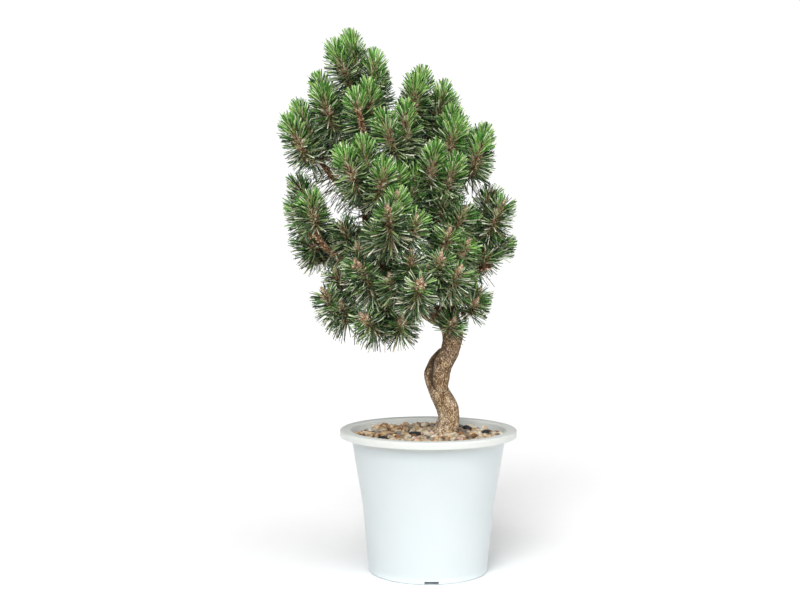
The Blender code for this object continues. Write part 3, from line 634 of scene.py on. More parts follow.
def pine_bark():
    """Bark of a slow pine, never smoothed: it flakes off in thin flecks, so cream, tan and dark brown lie
    side by side. It is paler near the ground, red-brown on young limbs, and darkened by painted shade in
    the fold where the stem lies on the shoulder.
    """
    made, tree, place = surface("mountain_pine_bark", Roughness=0.88, IOR=1.45)
    young = node(tree, "Attribute", {"attribute_name": "young"}, output="Fac")
    fold = node(tree, "Attribute", {"attribute_name": "fold"}, output="Fac")
    upright = node(tree, "Mapping", {"Scale": (1, 1, 0.7)}, {"Vector": place})
    flecks = node(tree, "TexNoise", {"Scale": per(1.7), "Detail": 4, "Roughness": 0.65},
                  {"Vector": upright})
    scales = node(tree, "TexNoise", {"Scale": per(9), "Detail": 4, "Roughness": 0.6}, {"Vector": upright})
    height = node(tree, "SeparateXYZ", links={"Vector": place}, output="Z")
    rubbed = node(tree, "MapRange", {"From Min": GRAVEL_TOP * MM, "From Max": 1.5 * GRAVEL_TOP * MM,
                                     "To Min": 0.56, "To Max": 0.5}, {"Value": height})
    mixed = node(tree, "MixRGB", {"Fac": 0.3}, {"Color1": flecks, "Color2": scales})
    worn = node(tree, "MixRGB", {"blend_type": "OVERLAY", "Fac": 1}, {"Color1": mixed, "Color2": rubbed})
    tan, grey, red = [node(tree, "ValToRGB", {"stops": stops}, {"Fac": worn}) for stops in BARK_COLOURS]
    blotches = node(tree, "TexNoise", {"Scale": per(26), "Detail": 3}, {"Vector": place})
    blotch = node(tree, "MapRange", {"From Min": 0.42, "From Max": 0.58}, {"Value": blotches})
    old = node(tree, "MixRGB", links={"Fac": blotch, "Color1": tan, "Color2": grey})
    aged = node(tree, "MixRGB", links={"Fac": young, "Color1": old, "Color2": red})
    # Painted shade: the bark darkens towards dark brown in the fold where the stem lies on the shoulder
    shade = node(tree, "MapRange", {"From Max": 0.8, "To Max": 0.85}, {"Value": fold})
    colour = node(tree, "MixRGB", {"Color2": "#33241A"}, {"Fac": shade, "Color1": aged})
    return coat(made, colour, node(tree, "Bump", {"Strength": 1, "Distance": 0.0014}, {"Height": worn}))


def depth_below(spots, path):
    """How far spots lie outside the surface of a limb given as points with radii."""
    apart = np.linalg.norm(spots[:, None] - path[None, :, :3], axis=2)
    return (apart - path[:, 3]).min(axis=1)


def raise_bark(piece, limbs):
    """Raise the bark's lumps and flakes, more on thick limbs, and sink the fold where the stem lies on
    the shoulder, with the fold, which the bark paints with shade, and the age of the wood kept as
    attributes.
    """
    centres = np.concatenate(limbs)
    tree = kdtree.KDTree(len(centres))
    for index, row in enumerate(centres):
        tree.insert(row[:3] * MM, index)
    tree.balance()
    count = len(piece.data.vertices)
    spots = np.empty(3 * count)
    normals = np.empty(3 * count)
    piece.data.vertices.foreach_get("co", spots)
    piece.data.vertices.foreach_get("normal", normals)
    spots = spots.reshape(-1, 3) / MM
    normals = normals.reshape(-1, 3)
    apart = abs(depth_below(spots, limbs[0])) + abs(depth_below(spots, limbs[1]))
    reach = np.interp(spots[:, 2], FOLD_LEVELS, FOLD_REACHES)
    fold = np.clip(1 - apart / reach, 0, 1)
    young = []
    lifts = []
    for row in spots:
        spot = Vector(row)
        thick = min(centres[tree.find(spot * MM)[1]][3] / THICKEST, 1)
        flake = noise.fractal(spot / FLAKE, 1, 2, 3)
        lump = noise.noise(spot / LUMP)
        lifts.append(flake * FLAKE_HEIGHT * thick**FLAKE_FADE + lump * LUMP_HEIGHT * thick)
        young.append(min(max((spot.z - YOUNG_FROM) / YOUNG_RISE, 0), 1) * (1 - OLD_LOOK * thick))
    spots += normals * (np.array(lifts) - fold * FOLD_DEPTH)[:, None]
    piece.data.vertices.foreach_set("co", spots.ravel() * MM)
    for name, values in (("fold", fold), ("young", young)):
        attribute = piece.data.attributes.new(name, "FLOAT", "POINT")
        attribute.data.foreach_set("value", values)


stems = [through(stations, FINE_STEP) for stations in (LOWER_TRUNK, LEADER, RIGHT_LEADER)]
boughs = [bough_path(*row, step=FINE_STEP) for row in (*BOUGHS.values(), PRUNED_STUB)]
limbs = [*stems, *boughs]
bark_skin = piece_from("bark_skin", *joined([tube(path, LIMB_SIDES) for path in limbs]), pine_bark())
remesh = bark_skin.modifiers.new("skin", "REMESH")
remesh.mode = "VOXEL"
remesh.voxel_size = SKIN_STEP * MM
smooth = bark_skin.modifiers.new("smooth", "SMOOTH")
smooth.iterations = SKIN_SMOOTHING
fix_modifiers(bark_skin)
raise_bark(bark_skin, limbs)
bark_skin.data.shade_smooth()
settle(bark_skin, ["trunk", *["bough_" + name for name in BOUGHS]])

# Twigs and shoots
# Each bough, and the leaders between them, carry twigs that end in upright shoots. The stem of a mass
# and its side twigs follow the rule of the solids, and the side twigs at the back then bear small shoots of
# their own.
# All wood thinner than a bough is here.
SPRAY_LENGTH = 60
SHORTEST_SPRAY = 16
NEEDLE_REACH = 30
CROWN_AXIS = (-42, 16)
CROWN_HALF_WIDTH = 170
LOW_CROWN = 480
LOW_CROWN_DEPTH = 120
UPWARDS = np.array((0.0, 0.0, 1.0))
INNER_LEAN = 0.08
EDGE_LEAN = 0.3
LOW_LEAN = 0.6
TWIG_LEAN = 0.3
SIDE_LEAN = 0.15
STEM_RADIUS = 3
STEM_RISE = 0.35
SHORTEST_STEM = 6
TWIG_RADIUS = 2.4
TWIG_PARTS = 3
STEM_DRAWN_PARTS = 12
SIDE_DRAWN_PARTS = 10
TWIG_BEND = 0.45
TAPER = 0.9
SIDE_SPREAD = 33
SIDE_STEP = 5
SIDE_DROP = 20
SIDE_DROP_STEP = 12
SIDE_JITTER = 5
SIDE_VIGOUR = 0.85
HIGHEST_JOINT = 0.8
JOINT_RANGE = 0.55
SHOOT_RADIUS = 1.9
SHOOT_TIP_RADIUS = 1.3
SHOOT_EXTRA = 8
SHOOT_TAPERS = (1, 0.85, 0.6)
TWIG_SIDES = 7
# Small shoots on the side twigs at the back: the first of their places in a mass, how far up its twig
# each starts, its share of the length, and how far it and its stalk lean out and up
SMALL_FIRST = 10
SMALL_JOINT = 0.7
SMALL_LENGTH = 0.45
SMALL_RISE = 0.8
SMALL_LEAN = 0.75
SMALL_STALK = 8
SMALL_STALK_RISE = 0.5
# Masses whose stem shows, and its radius
WORN_FRONTS = ("crown_front",)
WORN_RADIUS = 3
# Side shoots, by mass and place, that the solids have no room for
CROWDED_OUT = {("right_mid", 2)}
# A direction that no shoot has, to turn others about a shoot from
SKEW = np.array((0.3, 1.0, 0.2))
# Masses: the bough that each grows from, or the leader and the height on it, which is its end where it
# is None, its tip, its vigour, and how many side twigs it has, with the bearing of the first
MASSES = {
    "crown_tip": ((LEADER, None), (-121, 0, 822), 1.0, 2, 215),
    "crown_right": ((LEADER, 688), (-79, 4, 774), 0.9, 0, 0),
    "crown_left": ((LEADER, 676), (-171, 2, 758), 0.9, 2, -70),
    "crown_front": ((LEADER, 664), (-92, -42, 744), 0.9, 1, -120),
    "crown_back": ((LEADER, 672), (-116, 46, 762), 0.9, 2, 40),
    "upper_left": ("upper_left", (-200, 0, 717), 1.0, 2, 250),
    "upper_front": ("upper_front", (-98, -84, 660), 1.0, 2, 200),
    "mid_left": ("mid_left", (-203, 0, 608), 0.9, 2, 320),
    "small_left": ("small_left", (-148, 4, 476), 0.6, 0, 0),
    "low_left": ("low_left", (-168, -8, 444), 0.6, 1, -30),
    "left_inner": ((LEADER, 508), (-112, -40, 512), 0.8, 1, -100),
    "left_bud": ((LEADER, 522), (-138, -12, 544), 0.6, 1, 90),
    "centre_front": ("centre_front", (-47, -114, 586), 1.0, 3, 250),
    "centre_upper": ((LEADER, 570), (-44, -60, 620), 1.0, 1, 30),
    "front_left": ((LEADER, 468), (-76, -66, 508), 0.9, 1, 200),
    "low_front": ("low_front", (-26, -98, 504), 0.8, 3, 20),
    "low_buds": ((LEADER, 412), (-74, -46, 430), 0.6, 2, 200),
    "front_right": ("front_right", (18, -92, 500), 0.8, 1, 10),
    "right_front": ((RIGHT_LEADER, 520), (34, -62, 536), 0.8, 1, 20),
    "second_tip": ((RIGHT_LEADER, None), (-9, 0, 768), 1.0, 2, 250),
    "second_right": ((RIGHT_LEADER, 650), (25, 4, 746), 0.9, 1, 65),
    "second_left": ((RIGHT_LEADER, 636), (-38, -52, 712), 0.9, 1, 190),
    "second_low": ((RIGHT_LEADER, 618), (40, -20, 708), 0.9, 1, -90),
    "second_front": ((RIGHT_LEADER, 574), (10, -60, 652), 1.0, 2, 10),
    "right_top": ("right_top", (88, 0, 681), 0.9, 1, -100),
    "right_inner": ((RIGHT_LEADER, 540), (28, -46, 588), 0.8, 1, 0),
    "right_mid": ("right_mid", (100, 0, 592), 0.9, 3, -60),
    "right_low": ("right_low", (118, -8, 524), 0.6, 1, 200),
    "low_right": ((RIGHT_LEADER, 402), (86, -4, 444), 0.6, 1, -100),
    "right_nest": ((RIGHT_LEADER, 436), (60, -14, 478), 0.8, 0, 0),
    "fork_shoot": ((LEADER, 372), (44, -46, 400), 0.5, 0, 0),
    "back_low": ("back_low", (-50, 124, 476), 0.9, 4, 60),
    "back_left": ("back_left", (-186, 100, 556), 0.9, 2, 100),
    "back_right": ("back_right", (84, 122, 560), 0.9, 4, 40),
    "back_mid": ("back_mid", (-30, 132, 664), 0.9, 4, 90),
    "back_upper": ("back_upper", (-142, 92, 724), 0.9, 3, 120),
    "back_high": ("back_high", (54, 96, 704), 0.9, 3, 50),
    "back_inner": ((LEADER, 536), (-70, 82, 612), 0.9, 1, 60),
    "back_core": ((RIGHT_LEADER, 520), (44, 78, 606), 0.9, 1, 100),
}


def twig_curve(start, heading, end, radius, end_radius, parts=TWIG_PARTS):
    """Points with radii on a twig that leaves start along a heading and bends round to end."""
    bend = start + heading * np.linalg.norm(end - start) * TWIG_BEND
    shares = np.linspace(0, 1, parts + 1)[:, None]
    line = (1 - shares) ** 2 * start + 2 * shares * (1 - shares) * bend + shares**2 * end
    return np.hstack([line, radius + (end_radius - radius) * shares])


def lean_at(point):
    """Which way a spray points at a place in the crown: up, and outwards near the edge and low down."""
    out = np.array([point[0] - CROWN_AXIS[0], point[1] - CROWN_AXIS[1], 0.0])
    share = np.linalg.norm(out) / CROWN_HALF_WIDTH
    low = min(max((LOW_CROWN - point[2]) / LOW_CROWN_DEPTH, 0), 1)
    return unit(UPWARDS + unit(out) * (INNER_LEAN + EDGE_LEAN * share + LOW_LEAN * low))


def spray_line(start, tip, out, vigour):
    """A spray's foot, direction and length, for a twig from start and needles that end at tip."""
    way = tip - start
    aim = unit(lean_at(tip) + TWIG_LEAN * unit(way) + out)
    room = np.linalg.norm(way) - NEEDLE_REACH - SHORTEST_STEM
    length = max(min(SPRAY_LENGTH * vigour, room), SHORTEST_SPRAY)
    foot = tip - aim * (length + NEEDLE_REACH)
    return foot, aim, length


def stem_start(place, tip):
    """Where, which way and how thick the stem of a mass starts."""
    if isinstance(place, str):
        path = bough_path(*BOUGHS[place])
    else:
        stem, height = place
        if height is not None:
            centre = on_stem(stem, height)[:3]
            return centre, unit((tip - centre) * (1, 1, STEM_RISE)), STEM_RADIUS
        path = through(stem, FINE_STEP)
    heading = unit(path[-1][:3] - path[-2][:3])
    return path[-1][:3] + heading * GAP, heading, path[-1][3] * TAPER


def grow(name):
    """The twigs of a mass, each as (finely drawn curve, foot, aim and length of its spray, turn)."""
    place, tip, vigour, side_count, bearing = MASSES[name]
    rng = random.Random(name)
    tip = np.array(tip, dtype=float)
    start, heading, radius = stem_start(place, tip)
    foot, aim, length = spray_line(start, tip, np.zeros(3), vigour)
    stem = (start, heading, foot, radius, TWIG_RADIUS)
    stem_path = twig_curve(*stem)
    shoots = [(twig_curve(*stem, parts=STEM_DRAWN_PARTS), foot, aim, length, rng.uniform(0, math.tau))]
    for index in range(side_count):
        angle = math.radians(bearing) + index * GOLDEN_TURN
        out = np.array([math.cos(angle), math.sin(angle), 0])
        spread = SIDE_SPREAD + SIDE_STEP * index
        drop = SIDE_DROP + SIDE_DROP_STEP * index
        jitter = np.array([rng.uniform(-SIDE_JITTER, SIDE_JITTER) for _ in range(3)])
        side_tip = tip + out * spread - (0, 0, drop) + jitter
        share = HIGHEST_JOINT - JOINT_RANGE * index / side_count
        joint = stem_path[max(1, round(share * TWIG_PARTS))][:3]
        side_vigour = vigour * SIDE_VIGOUR
        foot, aim, length = spray_line(joint, side_tip, out * SIDE_LEAN, side_vigour)
        side = (joint, unit(out + aim), foot, TWIG_RADIUS, TWIG_RADIUS * TAPER)
        twig = twig_curve(*side, parts=SIDE_DRAWN_PARTS)
        shoots.append((twig, foot, aim, length, rng.uniform(0, math.tau)))
    return shoots


def square_to(aim, angle):
    """The direction square to an aim at an angle round it."""
    across = unit(np.cross(aim, SKEW))
    return across * math.cos(angle) + np.cross(aim, across) * math.sin(angle)


def shoot_axis(foot, aim, length, radius):
    """A shoot's woody axis, tapering to its bud."""
    end = foot + aim * length
    places = (foot, (foot + end) / 2, end)
    return np.array([(*place, radius * share) for place, share in zip(places, SHOOT_TAPERS)])


# Every shoot as (name of its mass, place in it, foot, aim, length, turn), and every twig as a path
shoots = []
twigs = []
for name in MASSES:
    for index, (twig, foot, aim, length, turn) in enumerate(grow(name)):
        if (name, index) in CROWDED_OUT:
            continue
        length += SHOOT_EXTRA
        twigs.append((name, twig))
        radius = WORN_RADIUS if name in WORN_FRONTS else SHOOT_RADIUS
        twigs.append((name, shoot_axis(foot, aim, length, radius)))
        shoots.append((name, index, foot, aim, length, turn))
        if index and name.startswith("back"):
            joint = twig[round(SMALL_JOINT * (len(twig) - 1))][:3]
            out = square_to(aim, turn)
            small_aim = unit(aim * SMALL_RISE + out * SMALL_LEAN)
            small_length = max(length * SMALL_LENGTH, SHORTEST_SPRAY)
            small_foot = joint + unit(out + aim * SMALL_STALK_RISE) * SMALL_STALK
            stalk = twig_curve(joint, out, small_foot, SHOOT_RADIUS, SHOOT_RADIUS * TAPER)
            twigs.append((name, stalk))
            twigs.append((name, shoot_axis(small_foot, small_aim, small_length, SHOOT_TIP_RADIUS)))
            shoots.append((name, SMALL_FIRST + index, small_foot, small_aim, small_length, turn))


def twig_wood():
    """Wood two or three years old, still in its scaly skin: dark brown and tan, dull and rough."""
    made, tree, place = surface("pine_twig_scaly", Roughness=0.8, IOR=1.45)
    scales = node(tree, "TexNoise", {"Scale": per(1.5), "Detail": 4, "Roughness": 0.7}, {"Vector": place})
    spread = node(tree, "MapRange", {"From Min": 0.36, "From Max": 0.64}, {"Value": scales})
    colour = node(tree, "MixRGB", {"Color1": "#2A1A11", "Color2": "#8A6040"}, {"Fac": spread})
    return coat(made, colour, node(tree, "Bump", {"Strength": 1, "Distance": 0.0009}, {"Height": scales}))


twig_piece = piece_from("twigs", *joined([tube(path, TWIG_SIDES) for _, path in twigs]), twig_wood())
twig_piece.data.shade_smooth()
settle(twig_piece, ["needles_" + name for name in MASSES])

# Needles
# Mountain pine needles grow in pairs from a short papery sheath: stiff, blunt, rounded outside, and flat
# and paled by wax where the two face each other, that side paler still with a painted highlight. This
# year's stand forward round the shoot, last year's stand out below them, older ones droop along the wood,
# and bare twigs keep the cushions of theirs. Pale needles among them carry painted highlights, and the
# darkest carry painted shade.
NEEDLE = 27
OLD_NEEDLE = 30
NEEDLE_WIDTH = 1.395
NEEDLE_BULGE = 0.5
PAIR_ANGLE = 0.2
PAIRS_PER_MM = 3.2
TWIG_PAIRS_PER_MM = 1.7
BOUGH_PAIRS_PER_MM = 0.6
CUSHIONS_PER_MM = 1.4
WOOD_SPREAD = 86
CUSHION_SPREAD = 48
WOOD_SPREAD_JITTER = 9
DEEPEST_DROOP = 0.2
# The share of a twig, a bare twig or a bough from which old needles, or their cushions, clothe it
TWIG_FIRST = 0.3
BARE_TWIG_FIRST = 0.05
BOUGH_FIRST = 0.5
# Where a bough is clothed sooner and more densely than the rest, and from where the leaders are
CLOTHED_BOUGHS = {"upper_left": (0.15, 1.2)}
CLOTHED_LEADERS = (("crown_tip", LEADER, 0.52), ("second_tip", RIGHT_LEADER, 0.7))
BOUGH_SEED = 50
LEADER_SEED = 60
SHEATH = 10
AGED_SHEATH = 7
WORN_SHEATH = 4
SHEATH_RADIUS = 1.15
SHEATH_TAPER = 0.85
# Where the needles begin along their sheath
BARED_FROM = 0.75
# How far towards the viewer old needles point on a mass whose stem shows
WORN_SHARE = 0.35
# Masses whose twigs are bare, and the share of their shoots that is bare at the foot too
BARE_TWIGS = {"fork_shoot": 0.4, "low_right": 0.4, "right_low": 0.5, "mid_left": 0.12}
# Low shoots are bare at the tip and spread wider, from a height down, fully so a depth below it
LOW_FOOT = 560
LOW_FOOT_DEPTH = 110
BARE_TIP = 0.08
# How far needles stand out from a shoot along it, in degrees, high in the crown and low down
SPREAD_PLACES = (0, 0.35, 0.6, 0.85, 1)
HIGH_SPREADS = (106, 84, 60, 38, 14)
LOW_SPREADS = (112, 95, 78, 62, 48)
SPREAD_JITTER = 6
# How long they are along it, and how far they bend towards its tip
LENGTH_PLACES = (0, 0.4, 0.5, 1)
LENGTHS = (OLD_NEEDLE, OLD_NEEDLE, NEEDLE, NEEDLE * 0.92)
BEND_PLACES = (0, 0.4, 0.6, 1)
BENDS = (-0.04, 0.04, 0.16, 0.06)
# They crowd towards the tip, and their feet are sunk in the wood
CROWDING = 0.9
ROOT_SHARE = 0.8
# Below about this height shoots are in shade and darker
SHADED_BELOW = 500
SHADED_JITTER = 45
NEEDLE_STATIONS = np.array((0.0, 0.94))
NEEDLE_CORNERS = np.array(((-0.5, 0.0), (0.5, 0.0), (0.0, NEEDLE_BULGE)))
# How much rougher the waxy flat side is than the rounded one
WAX_ROUGHER = 0.1
# Each kind of needle by its age and shade: its rounded side, its waxy flat side and its roughness. The
# flat side is paler than wax alone, with a painted highlight; the pale kinds, young_pale, grown_pale and
# old_grey, stand for glints as painted highlights, and the darkest, young_deep and grown_dark, stand for
# the dark gaps in the crown as painted shade.
SHADES = {
    "young_pale": ("#B4D07C", "#EEF6D4", 0.38),
    "young_bright": ("#66A836", "#BADE8E", 0.36),
    "young_leaf": ("#4C8E32", "#A2CA7A", 0.36),
    "young_deep": ("#143810", "#4E7630", 0.38),
    "grown_pale": ("#A0B27A", "#EAF0D2", 0.4),
    "grown_green": ("#4A7430", "#A2B87E", 0.4),
    "grown_dark": ("#112410", "#3E5832", 0.4),
    "old_blue": ("#3A5640", "#B2C4A6", 0.42),
    "old_grey": ("#9A9470", "#F2ECD6", 0.44),
}
# The shades at the tip, the middle and the foot of a shoot high in the crown, and one step on low down.
# The feet hold more of the darkest kinds, as painted shade inside the crown.
AGES = (
    ("young_bright", "young_leaf", "young_pale", "young_deep", "young_leaf"),
    ("young_leaf", "young_deep", "grown_pale", "grown_dark"),
    ("grown_green", "grown_dark", "grown_pale", "grown_dark", "old_blue"),
    ("grown_dark", "old_blue", "old_grey", "grown_dark", "grown_green"),
)
# Old needles along the wood: the darkest kind among them is painted shade inside the crown, the palest a
# painted highlight
OLD_SHADES = ("old_blue", "grown_dark", "old_grey")
ZONES = (0.4, 0.7)


def prism_faces(rings, pointed):
    """Triangles of a three-sided prism of rings, closed to a point if it has one, and whether each lies
    on its flat side.
    """
    faces = []
    flat = []
    for low in range(0, 3 * (rings - 1), 3):
        for side in range(3):
            after = (side + 1) % 3
            faces.append((low + side, low + after, low + 3 + after))
            faces.append((low + side, low + 3 + after, low + 3 + side))
            flat += [side == 0] * 2
    if pointed:
        last = 3 * (rings - 1)
        faces += [(last + side, last + (side + 1) % 3, last + 3) for side in range(3)]
        flat += [True, False, False]
    return np.array(faces), np.array(flat)


def needle_points(roots, ways, bulges, bends, lengths, rng):
    """The points of needles, seven for each, from their roots, directions, bends and lengths."""
    across = np.cross(ways, bulges)
    width = NEEDLE_WIDTH * rng.uniform(0.85, 1.15, len(roots))
    shares = NEEDLE_STATIONS[None, :, None]
    line = roots[:, None] + lengths[:, None, None] * (ways[:, None] * shares + bends[:, None] * shares**2)
    sides = NEEDLE_CORNERS[:, 0, None] * across[:, None] + NEEDLE_CORNERS[:, 1, None] * bulges[:, None]
    rings = line[:, :, None] + width[:, None, None, None] * sides[:, None]
    tips = roots + lengths[:, None] * (ways + bends)
    return np.concatenate([rings.reshape(len(roots), -1, 3), tips[:, None]], axis=1)


def sheath_points(roots, ways, length, rng):
    """The points of the sheaths round the needles' feet, six for each."""
    across = unit(np.cross(ways, rng.normal(size=ways.shape)))
    normal = np.cross(ways, across)
    angles = np.arange(3) * math.tau / 3
    ring = np.cos(angles)[:, None] * across[:, None] + np.sin(angles)[:, None] * normal[:, None]
    ends = roots + ways * length * rng.uniform(0.8, 1.2, len(roots))[:, None]
    foot = roots[:, None] + ring * SHEATH_RADIUS
    top = ends[:, None] + ring * SHEATH_RADIUS * SHEATH_TAPER
    return np.concatenate([foot, top], axis=1)


class Bundle:
    """Needles or sheaths of one colour, gathered for one piece."""

    def __init__(self):
        self.points = []
        self.masses = set()

    def add(self, points, mass):
        """Gather the points of more of them, which belong to a mass."""
        self.points.append(points)
        self.masses.add(mass)

    def piece(self, name, shape, skin, flat_skin):
        """The piece made of all of them, with the flat sides in a skin of their own."""
        faces, flat = shape
        points = np.concatenate(self.points)
        count, size = points.shape[:2]
        corners = faces[None] + size * np.arange(count)[:, None, None]
        made = piece_from(name, points.reshape(-1, 3), corners.reshape(-1, 3), skin)
        made.data.materials.append(flat_skin)
        made.data.polygons.foreach_set("material_index", np.tile(flat, count).astype(np.int32))
        settle(made, ["needles_" + mass for mass in sorted(self.masses)])


def needle_skin(name, code, roughness):
    """Waxed needle skin: a soft gloss in the colour given (painted highlight in the pale kinds and flat
    sides, painted shade in the darkest), with shades that drift over some 15 mm.
    """
    made, tree, place = surface(name, Roughness=roughness, IOR=1.45)
    shades = node(tree, "TexNoise", {"Scale": per(15), "Detail": 3}, {"Vector": place})
    value = node(tree, "MapRange", {"From Min": 0.35, "From Max": 0.65, "To Min": 0.78, "To Max": 1.22},
                 {"Value": shades})
    return coat(made, node(tree, "HueSaturation", {"Color": code}, {"Value": value}))


bundles = {name: Bundle() for name in SHADES}
sheaths = {"fresh": Bundle(), "aged": Bundle()}


def pairs_at(centres, axes, radii, angles, spreads, lengths, bends, shade, mass, rng):
    """Gather needle pairs that leave an axis at points, round it and out from it, with their sheaths."""
    across = unit(np.cross(axes, SKEW))
    other = np.cross(axes, across)
    out = across * np.cos(angles)[:, None] + other * np.sin(angles)[:, None]
    ways = unit(axes * np.cos(spreads)[:, None] + out * np.sin(spreads)[:, None])
    age, sheath = ("fresh", SHEATH) if shade in AGES[:2] else ("aged", AGED_SHEATH)
    worn = mass in WORN_FRONTS and shade != AGES[0]
    if worn or not shade:
        age, sheath = "aged", WORN_SHEATH
    roots = centres + out * radii[:, None] * ROOT_SHARE
    sheaths[age].add(sheath_points(roots, ways, sheath, rng), mass)
    if not shade:
        return
    roots = roots + ways * sheath * BARED_FROM
    lengths = lengths - sheath * BARED_FROM
    if worn:
        kept = ways[:, 1] > -WORN_SHARE
        ways, roots, lengths, bends = (rows[kept] for rows in (ways, roots, lengths, bends))
    sideways = unit(np.cross(ways, rng.normal(size=ways.shape)))
    for side in (-1, 1):
        needle_ways = unit(ways + side * sideways * PAIR_ANGLE)
        bulges = unit(side * (sideways - ways * np.sum(sideways * needle_ways, axis=1)[:, None]))
        own = lengths * rng.uniform(0.93, 1.05, len(lengths))
        shades = rng.permutation(len(roots)) % len(shade)
        for place, name in enumerate(shade):
            kept = shades == place
            if kept.any():
                points = needle_points(roots[kept], needle_ways[kept], bulges[kept], bends[kept],
                                       own[kept], rng)
                bundles[name].add(points, mass)


def clothe_shoot(mass, index, foot, aim, length, turn):
    """Needles all round one shoot, last year's at its foot and this year's to its end."""
    rng = np.random.default_rng([ord(letter) for letter in mass] + [index])
    count = round(length * PAIRS_PER_MM)
    first = BARE_TWIGS.get(mass, 0)
    low = min(max((LOW_FOOT - foot[2]) / LOW_FOOT_DEPTH, 0), 1)
    along = first + (1 - first) * ((np.arange(count) + rng.uniform(0.2, 0.8, count)) / count) ** CROWDING
    along *= 1 - BARE_TIP * low
    angles = turn + np.arange(count) * GOLDEN_TURN
    high_spreads = np.interp(along, SPREAD_PLACES, HIGH_SPREADS)
    low_spreads = np.interp(along, SPREAD_PLACES, LOW_SPREADS)
    spreads = np.radians(high_spreads + (low_spreads - high_spreads) * low)
    spreads += rng.normal(0, math.radians(SPREAD_JITTER), count)
    lengths = np.interp(along, LENGTH_PLACES, LENGTHS) * rng.uniform(0.92, 1.06, count)
    centres = foot + aim * (length * along)[:, None]
    axes = np.repeat(aim[None], count, axis=0)
    radii = np.interp(along, (0, 1), (SHOOT_RADIUS, SHOOT_TIP_RADIUS))
    bends = aim[None] * np.interp(along, BEND_PLACES, BENDS)[:, None]
    zones = np.digitize(along, ZONES)
    shaded = foot[2] + rng.normal(0, SHADED_JITTER) < SHADED_BELOW
    for zone in range(len(ZONES) + 1):
        kept = zones == zone
        if kept.any():
            pairs_at(centres[kept], axes[kept], radii[kept], angles[kept], spreads[kept], lengths[kept],
                     bends[kept], AGES[len(ZONES) - zone + shaded], mass, rng)


def clothe_wood(mass, path, first, density, seed, shade=OLD_SHADES, spread=WOOD_SPREAD):
    """Old needles along a twig or a bough from a share of its length on, drooping and thinly set, or
    where no shade is left only the cushions of those that fell.
    """
    rng = np.random.default_rng([ord(letter) for letter in mass] + [seed])
    steps = np.linalg.norm(np.diff(path[:, :3], axis=0), axis=1)
    reach = np.concatenate([[0], np.cumsum(steps)])
    count = round(reach[-1] * (1 - first) * density)
    if count == 0:
        return
    spots = reach[-1] * (first + (1 - first) * (np.arange(count) + rng.uniform(0, 1, count)) / count)
    centres = np.stack([np.interp(spots, reach, path[:, axis]) for axis in range(3)], axis=1)
    radii = np.interp(spots, reach, path[:, 3])
    middles = (reach[1:] + reach[:-1]) / 2
    ways = np.diff(path[:, :3], axis=0) / steps[:, None]
    axes = unit(np.stack([np.interp(spots, middles, ways[:, axis]) for axis in range(3)], axis=1))
    angles = np.arange(count) * GOLDEN_TURN + rng.uniform(0, math.tau)
    spreads = np.radians(rng.normal(spread, WOOD_SPREAD_JITTER, count))
    lengths = OLD_NEEDLE * rng.uniform(0.9, 1.1, count)
    bends = -UPWARDS[None] * rng.uniform(0, DEEPEST_DROOP, count)[:, None]
    pairs_at(centres, axes, radii, angles, spreads, lengths, bends, shade, mass, rng)


for mass, index, foot, aim, length, turn in shoots:
    clothe_shoot(mass, index, foot, aim, length, turn)
for name in MASSES:
    for index, (twig, *_) in enumerate(grow(name)):
        if name in BARE_TWIGS:
            clothe_wood(name, twig, BARE_TWIG_FIRST, CUSHIONS_PER_MM, index, (), CUSHION_SPREAD)
        elif (name, index) not in CROWDED_OUT:
            clothe_wood(name, twig, TWIG_FIRST, TWIG_PAIRS_PER_MM, index)
for name, row in BOUGHS.items():
    first, density = CLOTHED_BOUGHS.get(name, (BOUGH_FIRST, BOUGH_PAIRS_PER_MM))
    clothe_wood(name, bough_path(*row, step=FINE_STEP), first, density, BOUGH_SEED)
for mass, stem, first in CLOTHED_LEADERS:
    clothe_wood(mass, through(stem, FINE_STEP), first, BOUGH_PAIRS_PER_MM, LEADER_SEED)

needle_shape = prism_faces(len(NEEDLE_STATIONS), pointed=True)
# Each kind as one piece, its flat sides in a paler skin of wax and painted highlight
for name, bundle in bundles.items():
    round_side, flat_side, roughness = SHADES[name]
    bundle.piece(name + "_needles", needle_shape, needle_skin("pine_needle_" + name, round_side, roughness),
                 needle_skin("pine_needle_wax_and_highlight_" + name, flat_side, roughness + WAX_ROUGHER))


def papery_sheath(name, dark, pale):
    """Dry papery scale, wrapped round the needles as they grew: matt, pale buff to grey-brown."""
    made, tree, place = surface(name, Roughness=0.75, IOR=1.4)
    shades = node(tree, "TexNoise", {"Scale": per(4), "Detail": 3}, {"Vector": place})
    return coat(made, node(tree, "ValToRGB", {"stops": ((0.42, dark), (0.56, pale))}, {"Fac": shades}))


SHEATH_COLOURS = {"fresh": ("#A0704C", "#FCE8CE"), "aged": ("#62402A", "#E0BE98")}
sheath_shape = prism_faces(2, pointed=False)
for name, colours in SHEATH_COLOURS.items():
    skin = papery_sheath("pine_sheath_" + name, *colours)
    sheaths[name].piece(name + "_sheaths", sheath_shape, skin, skin)

# Buds
# Each shoot ends in a winter bud, a pointed cylinder of overlapping resin-brown scales with pale fringed
# edges. The scales are set round it by the same golden turn as the needles.
BUD_LENGTH = 11
BUD_RADIUS = 3.1
# The core of a bud: shares of its length, with shares of its radius there
BUD_CORE = ((0, 0.6), (0.15, 0.9), (0.4, 1), (0.7, 0.75), (0.9, 0.35), (1, 0.08))
BUD_SIDES = 6
BUD_SCALES = 34
# Where the scales sit: their reach along the bud, and how far out they start along it
SCALES_REACH = 0.85
SCALES_SUNK = 0.75
SCALE_PLACES = (0, 0.4, 1)
SCALE_RADII = (0.8, 1, 0.3)
